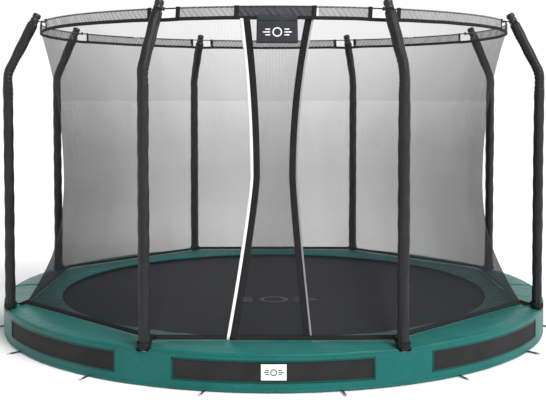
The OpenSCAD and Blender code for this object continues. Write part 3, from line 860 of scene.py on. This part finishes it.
def printBar(at, u, v, width, height, thick=0.0008):
    # a printed bar with round ends
    outline = []
    r = height / 2
    for side in (1, -1):
        for t in steps(-90, 90, 8):
            c, s = math.cos(math.radians(t)), math.sin(math.radians(t))
            outline.append((u + side * (width / 2 - r + r * c), v + side * r * s))
    rings = [[at(a, b, out) for a, b in outline] for out in (0, thick)]
    return tubeOf(rings)


def mark(name, at, scale, material, body):
    # the plain mark that stands on the badge, the label and the mat
    parts = [printRing(at, 0.5 * scale, 0.13 * scale)]
    for side in (-1, 1):
        for v, width in ((0.30, 0.55), (0, 0.80), (-0.30, 0.55)):
            parts.append(printBar(at, side * scale * (0.72 + width / 2), v * scale,
                                  width * scale, 0.13 * scale))
    return makePiece(name, merge(parts), material, body)


badgeCentre = (badgeLow + badgeHigh - 0.030) / 2
mark("badge_mark", lambda u, v, out: badgePoint(badgeMiddle + u, badgeCentre + v, out + 0.0022),
     0.050, labelCloth, "root")
border = []
for low, high, left, right in (
        (badgeLow + 0.004, badgeLow + 0.007, -1, 1), (badgeHigh - 0.030, badgeHigh - 0.027, -1, 1)):
    rows = []
    for x in steps(-badgeHalf + 0.006, badgeHalf - 0.006, 16):
        a = azimuthAt(badgeMiddle + x, low)
        rows.append((badgePoint(badgeMiddle + x, low, 0.0012),
                     badgePoint(badgeMiddle + x, high, 0.0012), around(a, 1, 0)))
    border.append(tape(rows, 0.0014))
makePiece("badge_stitching", merge(border), blackWebbing, "root")

netFlat = dict(ease=1.02, tall=1.80, panel=0.93)    # sizes of the netting laid flat
for name, piece in netPieces.items():
    bayCount = 1 if name == "net_back" else 3
    width = bayCount * 2 * cornerRadius * math.sin(math.radians(halfBay))
    declareCloth(piece, width * netFlat["ease"], netFlat["tall"],
                 [netHem] if bayCount == 1 else [])
for piece, hem, edging in ((outerPanel, hemPieces[1], bindings[:2]),
                           (innerPanel, hemPieces[2], bindings[2:])):
    declareCloth(piece, netFlat["panel"], netFlat["tall"], [hem, *edging])
blendFlap(outerPanel, 1)
blendFlap(innerPanel, -1)
print("net, entrance and band made")

# Mat and springs.

matShape = dict(sag=0.004, rings=26, turns=120, proud=0.0006)    # proud: seams and mark


def matHeight(x, y):
    r = math.hypot(x, y) / matRadius
    wave = noise.noise(Vector((x * 2.2, y * 2.2, 4))) * 0.0012
    return matTop - matShape["sag"] * (1 - r * r) + wave * (1 - r)


points = [Vector((0, 0, matHeight(0, 0)))]
for j in range(1, matShape["rings"] + 1):
    r = matRadius * (j / matShape["rings"]) ** 0.8
    for k in range(matShape["turns"]):
        p = around(360 * k / matShape["turns"], r, 0)
        points.append(Vector((p.x, p.y, matHeight(p.x, p.y))))
turns = matShape["turns"]
faces = [(0, 1 + k, 1 + (k + 1) % turns) for k in range(turns)]
faces += gridFaces(matShape["rings"] - 1, turns, 1, closed=True)
matCloth = makePiece("mat_cloth", (points, faces), matMaterial, "mat")
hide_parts("mat")
seams = []
for r in (matRadius - 0.012, matRadius - 0.045, matRadius - 0.050):
    seams.append(ribbon(steps(0, 360, 240), lambda a: around(a, r, matTop + matShape["proud"]),
                        lambda a: around(a, r + 0.002, matTop + matShape["proud"]),
                        lambda a: Vector((0, 0, 1)), 0.0012))
matSeams = makePiece("mat_seams", merge(seams), blackWebbing, "mat")
markY = -0.28


def matMarkPoint(u, v, out):
    return Vector((u, markY + v, matHeight(u, markY + v) + out + matShape["proud"]))


mark("mat_mark", matMarkPoint, 0.190, greyPrint, "mat")
declareCloth(matCloth, matRadius * 2.02, matRadius * 2.02, [matSeams])

coil = dict(turns=34, radius=0.0100, wire=0.0016, sides=5, perTurn=9, eye=0.007, reach=0.150)
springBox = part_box("springs")
springZ = (springBox[0].z + springBox[1].z) / 2
springIn = matRadius + 0.034 + 0.005    # the coil starts past the ring that it hooks into
springOut = springIn + coil["reach"]


def springPath(azimuth):
    middle = [around(azimuth, r, springZ) for r in (springIn, springOut)]
    along = (middle[1] - middle[0]).normalized()
    across = Vector((-along.y, along.x, 0))
    up = Vector((0, 0, 1))
    path = []
    for t in steps(-220, 60, 14):          # the hook round the mat's ring
        a = math.radians(t)
        path.append(middle[0] - along * (coil["eye"] - 0.001) + (
            along * math.cos(a) + up * math.sin(a)) * coil["eye"])
    total = coil["turns"] * coil["perTurn"]
    for i in range(total + 1):
        a = 2 * math.pi * i / coil["perTurn"]
        path.append(middle[0].lerp(middle[1], i / total)
                    + (across * math.cos(a) + up * math.sin(a)) * coil["radius"])
    path.append(middle[1] + along * 0.006)
    path.append(middle[1] + along * 0.018)
    return path


perTube = 9
for k in range(bays):
    for group in range(3):
        parts = []
        for i in range(3):
            turn = (group * 3 + i + 0.5 - perTube / 2) * bayAngle / perTube
            parts.append(sweep(springPath(poleAngles[k] + turn), coil["wire"], coil["sides"]))
        piece = makePiece("springs_%d_%d" % (k + 1, group + 1), merge(parts), springSteel,
                          None)
        middle = poleAngles[k] + (group - 1) * bayAngle / 3
        tuple(around(middle, springOut, springZ))
        tuple(around(middle, springIn, springZ))
        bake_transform(piece)
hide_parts("springs")
print("mat and springs made")

# Pad.

pad = dict(
    inner=skirtRadius - 0.372,
    roundness=0.012,
    seams=[90, 270],       # azimuths of the two sewn joins
    notch=0.0365,          # radius of the cut-out round a sleeve
    crown=0.004,
    dimple=0.010,          # how far the cover is drawn down at a pole
    rows=22,
    swell=0.006,           # the most that the stuffing may push the cover out
    frames=14,
    stiffness=12,
    pressure=4,
    shrink=-0.012,
)


def toPole(azimuth):
    # arc from the nearest pole, in metres at the pole circle
    off = (azimuth - halfBay) % bayAngle
    off = off - bayAngle if off > bayAngle / 2 else off
    return math.radians(off) * poleRadius


def padEdge(azimuth):
    d = abs(toPole(azimuth))
    n = pad["notch"]
    if d >= n * 1.25:
        return padOuter
    if d < n:
        cut = poleRadius - math.sqrt(n * n - d * d)
        return min(padOuter, cut)
    return padOuter - 0.012 * (1 - smooth((d - n) / (0.25 * n)))


def padColumns(first, last):
    azimuths = set()
    count = round((last - first) / 0.55)
    azimuths.update(steps(first, last, count))
    for k in range(-bays, 2 * bays):
        middle = k * bayAngle + halfBay
        if first < middle < last:
            azimuths.update(middle + math.degrees(d / poleRadius)
                            for d in steps(-0.075, 0.075, 40))
    listed = sorted(azimuths)
    kept = [listed[0]]
    for a in listed[1:-1]:
        if a - kept[-1] > 0.09 and listed[-1] - a > 0.09:
            kept.append(a)
    kept.append(listed[-1])
    return kept


def padHeight(azimuth, r, first, last):
    # height of the cover's top over the pad
    u = (r - pad["inner"]) / (padOuter - pad["inner"])
    crown = pad["crown"] * (math.sin(math.pi * min(1, max(0, u))) - 1)
    seam = min(azimuth - first, last - azimuth)
    groove = -0.007 * (1 - smooth(seam / 0.9))
    p = around(azimuth, r, 0)
    nearest = round((azimuth - halfBay) / bayAngle) * bayAngle + halfBay
    d = (p - around(nearest, poleRadius, 0)).length
    dimple = -pad["dimple"] * (1 - smooth((d - pad["notch"]) / 0.13))
    swirl = math.sin(9 * math.atan2(toPole(azimuth), poleRadius - r)) * 0.0022
    creases = swirl * (1 - smooth((d - pad["notch"]) / 0.16))
    broad = noise.noise(Vector((p.x * 4.2, p.y * 4.2, 1))) * 0.0034
    small = noise.noise(Vector((p.x * 14, p.y * 14, 3))) * 0.0016
    pulls = math.sin(azimuth * 1.9 + u * 5) * noise.noise(Vector((azimuth * 0.3, u * 2, 8))) * 0.003
    return padTop - 0.002 + crown + groove + dimple + creases + broad + small + pulls


def padSection(name, first, last):
    columns = padColumns(first + 0.06, last - 0.06)
    n = pad["rows"]
    rings = []
    for a in columns:
        outer = padEdge(a)
        top, bottom = [], []
        for i in range(n + 1):
            u = i / n
            r = mix(pad["inner"], outer, 0.5 - 0.5 * math.cos(math.pi * u))
            edge = min(r - pad["inner"], outer - r)
            fall = pad["roundness"] - math.sqrt(
                max(0, pad["roundness"] ** 2 - max(0, pad["roundness"] - edge) ** 2))
            top.append(around(a, r, padHeight(a, r, first, last) - fall))
            bottom.append(around(a, r, padBottom + 0.0005 + min(fall, 0.010)))
        rings.append(bottom + top[::-1])
    return makePiece(name, tubeOf(rings), tealVinyl, "root")


def swellPad(piece):
    # the stuffing pushes the cover out, and the cap on each point keeps the pad's size
    rest = [v.co.copy() for v in piece.data.vertices]
    held = piece.vertex_groups.new(name="held")
    for v in piece.data.vertices:
        low = v.co.z < padBottom + 0.012
        nearEdge = math.hypot(v.co.x, v.co.y) > padOuter - 0.045
        held.add([v.index], 1.0 if low else (0.85 if nearEdge else 0.02), "REPLACE")
    cloth = piece.modifiers.new("cover", "CLOTH")
    cloth.settings.quality = 5
    cloth.settings.mass = 0.3
    cloth.settings.tension_stiffness = pad["stiffness"]
    cloth.settings.compression_stiffness = pad["stiffness"]
    cloth.settings.bending_stiffness = 0.4
    cloth.settings.use_pressure = True
    cloth.settings.uniform_pressure_force = pad["pressure"]
    cloth.settings.shrink_min = pad["shrink"]
    cloth.settings.vertex_group_mass = "held"
    cloth.settings.effector_weights.gravity = 0
    cloth.collision_settings.use_collision = False
    cloth.point_cache.frame_end = pad["frames"]
    scene = bpy.context.scene
    for step in range(1, pad["frames"] + 1):
        scene.frame_set(step)
    view = bpy.context.evaluated_depsgraph_get()
    shaped = piece.evaluated_get(view).to_mesh()
    moved = [v.co.copy() for v in shaped.vertices]
    piece.evaluated_get(view).to_mesh_clear()
    piece.modifiers.remove(cloth)
    for v, before, after in zip(piece.data.vertices, rest, moved):
        shift = after - before
        if shift.length > pad["swell"]:
            shift = shift.normalized() * pad["swell"]
        if math.hypot(before.x, before.y) > padOuter - 0.05:
            shift = shift * 0.3
        v.co = before + shift
    scene.frame_set(1)
    piece.vertex_groups.clear()
    piece.data.update()


joins = pad["seams"]
for k in range(len(joins)):
    first = joins[k] if k < len(joins) - 1 else joins[k] - 360
    last = joins[k + 1] if k < len(joins) - 1 else joins[0]
    piece = padSection("pad_section_%d" % (k + 1), first, last)
    swellPad(piece)
    soften(piece)
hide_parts("spring_pad")
print("pad made")

# Skirt, its windows, the label and the pegs.

skirt = dict(high=padTop - 0.012, low=skirtBox[0].z, thick=0.002, ripple=0.0032,
             windowHigh=padTop - 0.052, windowLow=padTop - 0.150, windowHalf=16.75,
             border=0.011, borderThick=0.0016, proud=0.0006, lap=0.008, behind=0.0032)


def inWindow(azimuth, z):
    off = azimuth - bayAngle * round(azimuth / bayAngle)
    return (abs(off) < skirt["windowHalf"] - 1e-6
            and skirt["windowLow"] + 1e-6 < z < skirt["windowHigh"] - 1e-6)


def skirtPoint(azimuth, z, out=0.0):
    d = abs(toPole(azimuth))
    t = (skirt["high"] - z) / (skirt["high"] - skirt["low"])
    dip = (sleeveFoot - 0.001 - skirt["high"]) * (1 - smooth((d - 0.026) / 0.022)) * (1 - t) ** 3
    a = math.radians(azimuth)
    spot = Vector((math.sin(a), math.cos(a), 0))
    wide = noise.noise(spot * 7 + Vector((0, 0, z * 3)))
    narrow = noise.noise(spot * 26 + Vector((5, 2, z * 5)))
    free = smooth((d - 0.03) / 0.09)          # the socket behind holds the cloth out
    wave = skirt["ripple"] * (wide * 1.1 + narrow * 0.4) * (0.25 + 0.75 * t) * free
    tug = 0.0016 * math.sin(d * 95) * (1 - smooth(d / 0.16)) * (1 - t)
    return around(azimuth, skirtRadius - 0.0002 + wave + tug * free + out, z + dip)


def skirtColumns():
    listed = set()
    for k in range(bays):
        left = k * bayAngle - skirt["windowHalf"]
        right = k * bayAngle + skirt["windowHalf"]
        listed.update(steps(left, right, 48))
        listed.update(steps(right, left + bayAngle, 48))
    return sorted({round(a % 360, 6) for a in listed})


columns = skirtColumns()
heights = sorted(set(steps(skirt["low"], skirt["windowLow"], 4)
                     + steps(skirt["windowLow"], skirt["windowHigh"], 8)
                     + steps(skirt["windowHigh"], skirt["high"], 6)))
points = [skirtPoint(a, z) for z in heights for a in columns]
faces = []
count = len(columns)
for j in range(len(heights) - 1):
    for i in range(count):
        nextAngle = columns[(i + 1) % count] + (360 if i == count - 1 else 0)
        if not inWindow((columns[i] + nextAngle) / 2, (heights[j] + heights[j + 1]) / 2):
            right = j * count + (i + 1) % count
            faces.append((j * count + i, right, right + count, j * count + i + count))
used = sorted({i for face in faces for i in face})
place = {old: new for new, old in enumerate(used)}
skirtCloth = makePiece("skirt_cloth", ([points[i] for i in used],
                                       [tuple(place[i] for i in face) for face in faces]),
                       skirtVinyl, "root")
thicken(skirtCloth, skirt["thick"], -1)
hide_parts("skirt")

windowPieces, borderParts = [], []
for k in range(bays):
    middle = k * bayAngle
    lap = math.degrees(skirt["lap"] / skirtRadius)
    azimuths = steps(middle - skirt["windowHalf"] - lap, middle + skirt["windowHalf"] + lap, 60)
    rows = []
    for z in steps(skirt["windowLow"] - skirt["lap"], skirt["windowHigh"] + skirt["lap"], 12):
        rows.append([skirtPoint(a, z, -skirt["behind"]) for a in azimuths])
    piece = makePiece("skirt_window_%d" % (k + 1), sheetOf(rows), windowMaterial, "root")
    windowPieces.append(piece)
    wide = math.degrees(skirt["border"] / skirtRadius)
    half = skirt["windowHalf"]
    for low in (skirt["windowLow"] - skirt["border"], skirt["windowHigh"]):
        borderParts.append(ribbon(
            steps(middle - half - wide, middle + half + wide, 64),
            lambda a: skirtPoint(a, low, skirt["proud"]),
            lambda a: skirtPoint(a, low + skirt["border"], skirt["proud"]),
            outwardAt, skirt["borderThick"]))
    for side in (-1, 1):
        edge = middle + side * half
        borderParts.append(ribbon(
            steps(skirt["windowLow"], skirt["windowHigh"], 10),
            lambda z: skirtPoint(edge, z, skirt["proud"]),
            lambda z: skirtPoint(edge + side * wide, z, skirt["proud"]),
            lambda z: outwardAt(edge), skirt["borderThick"]))
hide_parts("skirt_windows")
windowBorders = makePiece("window_borders", merge(borderParts), tealBinding, "root")

hemParts = []
for low, high, out in ((skirt["low"], skirt["low"] + 0.016, 0.0008),
                       (skirt["high"] - 0.010, skirt["high"] - 0.006, 0.0006)):
    hemParts.append(ribbon(steps(0, 360, 8 * 60), lambda a: skirtPoint(a, low, out),
                           lambda a: skirtPoint(a, high, out), outwardAt, 0.0024))
skirtHem = makePiece("skirt_hem", merge(hemParts), skirtVinyl, "root")
perimeter = 2 * math.pi * skirtRadius
declareCloth(skirtCloth, perimeter, skirt["high"] - skirt["low"],
             [windowBorders, skirtHem])
windowWide = math.radians(2 * skirt["windowHalf"]) * skirtRadius + 2 * skirt["lap"]
windowTall = 0.116
for piece in windowPieces:
    declareCloth(piece, windowWide * 1.01, windowTall)

labelMiddle = (labelBox[0].z + labelBox[1].z) / 2
labelHalf = (labelBox[1].x - labelBox[0].x) / 2


def labelPoint(u, v, out=0.0):
    a = math.degrees(u / skirtRadius)
    return skirtPoint(a, labelMiddle + v, out + 0.0008)


rows = []
labelTall = (labelBox[1].z - labelBox[0].z) / 2
for v in steps(-labelTall, labelTall, 10):
    rows.append([labelPoint(u, v) for u in steps(-labelHalf, labelHalf, 16)])
labelPiece = makePiece("skirt_label_cloth", sheetOf(rows), labelCloth, "root")
thicken(labelPiece, 0.001)
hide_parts("skirt_label")
mark("label_mark", lambda u, v, out: labelPoint(u, v, out + 0.0012), 0.034, blackPrint,
     "root")

peg = dict(radius=0.0035, z=0.0045, ring=0.0050, wire=0.0024, reach=0.082)
pegOut = skirtRadius + peg["reach"]
rodParts, tipParts = [], []
for k in range(2 * bays):
    a = (k + 0.5) * halfBay
    random.seed(40 + k)
    sway = random.uniform(-0.9, 0.9)
    path = [around(a + sway * t * 0.35, mix(skirtRadius - 0.012, pegOut - 0.010, t),
                   peg["z"] + 0.006 * math.sin(math.pi * t) * (1 - t))
            for t in steps(0, 1, 10)]
    rodParts.append(sweep(path, peg["radius"] + 0.0012, 10))
    tip = path[-1]
    outward = (path[-1] - path[-2]).normalized()
    sideways = Vector((-outward.y, outward.x, 0)).normalized()
    circle = [tip + outward * 0.004 + (outward * math.cos(math.radians(t))
              + sideways * math.sin(math.radians(t))) * peg["ring"] for t in steps(-180, 176, 20)]
    tipParts.append(sweep(circle, peg["wire"], 8))
    tipParts.append(sweep([tip - outward * 0.010, tip - outward * 0.001],
                          peg["radius"] + 0.0022, 12))
pegPiece = makePiece("peg_rods", merge(rodParts), blackPlastic, "root")
makePiece("peg_tips", merge(tipParts), zincHardware, "root")
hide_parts("skirt_pegs")
print("skirt made")

# Pole sleeves and caps.

sleeve = dict(around=44, step=0.009, seam=0.0035, frill=0.006)
leanRadians = math.radians(pole["lean"])
kinkZ = capTop - pole["rise"]
bendCut = pole["bend"] * math.tan(leanRadians / 2)
bendZ = kinkZ - bendCut
leanLength = pole["rise"] / math.cos(leanRadians) - bendCut


def polePath(distance):
    # point and direction of the pole's centre line, inward as x and up as z
    straight = bendZ - sleeveFoot
    turned = pole["bend"] * leanRadians
    if distance < straight:
        return Vector((0, 0, sleeveFoot + distance)), Vector((0, 0, 1))
    if distance < straight + turned:
        a = (distance - straight) / pole["bend"]
        return (Vector((pole["bend"] * (1 - math.cos(a)), 0, bendZ + pole["bend"] * math.sin(a))),
                Vector((math.sin(a), 0, math.cos(a))))
    rest = distance - straight - turned
    up = Vector((math.sin(leanRadians), 0, math.cos(leanRadians)))
    start = Vector((pole["bend"] * (1 - math.cos(leanRadians)), 0,
                    bendZ + pole["bend"] * math.sin(leanRadians)))
    return start + up * rest, up


poleLength = bendZ - sleeveFoot + pole["bend"] * leanRadians + leanLength
sleeveLength = poleLength - pole["cap"] - 0.001


def toRing(local, angle):
    # from the pole's own plane to the object: local x points inward
    inward = around(angle, -1, 0)
    sideways = Vector((-inward.y, inward.x, 0))
    foot = around(angle, poleRadius, 0)
    return foot + inward * local.x + sideways * local.y + Vector((0, 0, local.z))


def sleeveRadius(s, turn, seed):
    # wrinkles gather at the bend and at the foot, and the seam stands up along the back
    bendAt = bendZ - sleeveFoot + pole["bend"] * leanRadians / 2
    a = math.radians(turn)
    spot = Vector((math.cos(a), math.sin(a), 0))
    broad = noise.noise(spot * 1.1 + Vector((seed * 3.7, 0, s * 2.4))) * 0.0030
    long = noise.noise(spot * 2.6 + Vector((seed * 1.9, 7, s * 5.5))) * 0.0020
    atBend = math.exp(-((s - bendAt) / 0.13) ** 2)
    inner = 0.5 + 0.5 * math.cos(a)
    folds = math.sin((s - bendAt) * 120 + 2.2 * noise.noise(spot * 2 + Vector((seed, 3, s * 9))))
    crease = -abs(folds) ** 2 * 0.0055 * atBend * (0.35 + inner)
    foot = math.exp(-(s / 0.10) ** 2)
    footFolds = math.sin(turn * 0.14 + seed) * 0.0022 * foot
    sag = math.sin(s * 46 + seed + 1.4 * spot.y) * 0.0011
    seam = sleeve["seam"] * math.exp(-((turn - 262) / 7) ** 2)
    return pole["sleeve"] - 0.0042 + broad + long + crease + footFolds + sag + seam


def sleeveMesh(angle, seed):
    count = round(sleeveLength / sleeve["step"])
    sides = sleeve["around"]
    turns = [360 * k / sides for k in range(sides)]
    rings = []
    for i in range(count + 1):
        s = sleeveLength * i / count
        centre, up = polePath(s)
        across = Vector((0, 1, 0))
        inward = across.cross(up).normalized()
        ends = min(s, sleeveLength - s)
        pull = 0.010 * (1 - smooth(ends / (0.020 if s > 1 else 0.007)))
        ring = []
        for turn in turns:
            a = math.radians(turn)
            r = sleeveRadius(s, turn, seed) - pull
            late = smooth((s - sleeveLength + 0.05) / 0.05)
            r += late * sleeve["frill"] * 0.45 * math.sin(turn * 0.19 + seed * 2)
            lift = late * sleeve["frill"] * noise.noise(Vector((turn * 0.05, seed, 1)))
            p = centre + (inward * math.cos(a) + across * math.sin(a)) * r + up * lift
            ring.append(toRing(p, angle))
        rings.append(ring)
    return tubeOf(rings)


for k, angle in enumerate(poleAngles):
    piece = makePiece("sleeve_%d" % (k + 1), sleeveMesh(angle, k + 1), sleeveMaterial,
                      "root")
    soften(piece)
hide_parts("pole_sleeves")

# half outline of a cap, from its foot up: distance from the axis, height below the top
capOutline = [
    (0.0000, 0.060), (0.0245, 0.060), (0.0258, 0.058), (0.0258, 0.040), (0.0248, 0.038),
    (0.0228, 0.037), (0.0228, 0.028), (0.0248, 0.027), (0.0260, 0.025), (0.0260, 0.014),
    (0.0252, 0.009), (0.0232, 0.0050), (0.0190, 0.0022), (0.0120, 0.0006), (0.0000, 0.0000),
]


def capMesh(angle):
    sides = 40
    rings = []
    for r, below in capOutline[1:-1]:
        centre, up = polePath(poleLength - below)
        across = Vector((0, 1, 0))
        inward = across.cross(up).normalized()
        rings.append([toRing(centre + (inward * math.cos(t) + across * math.sin(t)) * r, angle)
                      for t in [2 * math.pi * k / sides for k in range(sides)]])
    return tubeOf(rings)


def hookMesh(angle):
    # an open hook that the hoop lies in
    centre = around(angle, hoopRadius, hoopZ)
    outward = around(angle, 1, 0)
    up = Vector((0, 0, 1))
    path = [centre + outward * 0.040 + up * -0.004, centre + outward * 0.024 + up * -0.004]
    for t in steps(0, 290, 22):
        a = math.radians(t)
        path.append(centre + (outward * math.cos(a) - up * math.sin(a)) * (rodRadius + 0.0045))
    return sweep(path, 0.0036, 10)


caps = makePiece("pole_cap_shells", merge([capMesh(a) for a in poleAngles]),
                blackPlastic, "root")
makePiece("cap_hooks", merge([hookMesh(a) for a in poleAngles]), blackPlastic,
          "root")
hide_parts("pole_caps")
print("sleeves and caps made")

# Floor, lights and camera.

studio = dict(floor=500, horizon=1.05, zenith=0.34, fadeLow=0.28, fadeHigh=0.65, glow=0.05,
              key=3.7, soft=34, rim=60)
points = [Vector((x * studio["floor"], y * studio["floor"], -0.0006))
          for x, y in ((-1, -1), (1, -1), (1, 1), (-1, 1))]
floorMesh = bpy.data.meshes.new("floor")
floorMesh.from_pydata([tuple(p) for p in points], [], [(0, 1, 2, 3)])
floor = addObject("floor", floorMesh)
s = Shader("pale_floor")
floorMesh.materials.append(s.finish(
    colour=s.blend(s.noise(0.6, 2), (0.90, 0.90, 0.90), (0.93, 0.93, 0.93)), roughness=0.85,
    specular=0.0, emission=(1.0, 1.0, 1.0), glow=studio["glow"]))

world = bpy.data.worlds.new("studio")
bpy.context.scene.world = world
sky = Shader("studio", world)
direction = sky.node("ShaderNodeTexCoord", output="Generated")
upward = sky.node("ShaderNodeSeparateXYZ", inputs=[direction], output="Z")
strength = sky.node("ShaderNodeMapRange", inputs={
    "Value": upward, "From Min": studio["fadeLow"], "From Max": studio["fadeHigh"],
    "To Min": studio["horizon"], "To Max": studio["zenith"]})
background = sky.node("ShaderNodeBackground", inputs={
    "Color": (1.0, 1.0, 1.0), "Strength": strength})
sky.node("ShaderNodeOutputWorld", inputs={"Surface": background})


def addLight(name, kind, place, target, energy, **settings):
    light = bpy.data.lights.new(name, kind)
    light.energy = energy
    for key, value in settings.items():
        setattr(light, key, value)
    lamp = addObject(name, light)
    lamp.location = place
    lamp.rotation_euler = (Vector(target) - Vector(place)).to_track_quat("-Z", "Y").to_euler()


# one broad soft light from the right, as far off as a sun so that the floor stays even
addLight("key", "SUN", (4.5, -5.5, 5.5), (0.3, -0.6, 0.3), studio["key"],
         angle=math.radians(studio["soft"]))
addLight("rim", "AREA", (-2.0, 6.0, 5.0), (0, 0, 0.8), studio["rim"], size=3.0)

view = dict(place=(0, -6.7495, 1.5182), tilt=2.42, lens=64.13, shiftY=-0.1117, shiftX=-0.0012)
camera = addObject("camera", bpy.data.cameras.new("camera"))
camera.location = view["place"]
camera.rotation_euler = (math.radians(90 - view["tilt"]), 0, 0)
camera.data.sensor_fit = "HORIZONTAL"
camera.data.sensor_width = 36
camera.data.lens = view["lens"]
camera.data.shift_x = view["shiftX"]
camera.data.shift_y = view["shiftY"]
bpy.context.scene.camera = camera
bpy.context.scene.view_settings.view_transform = "Standard"
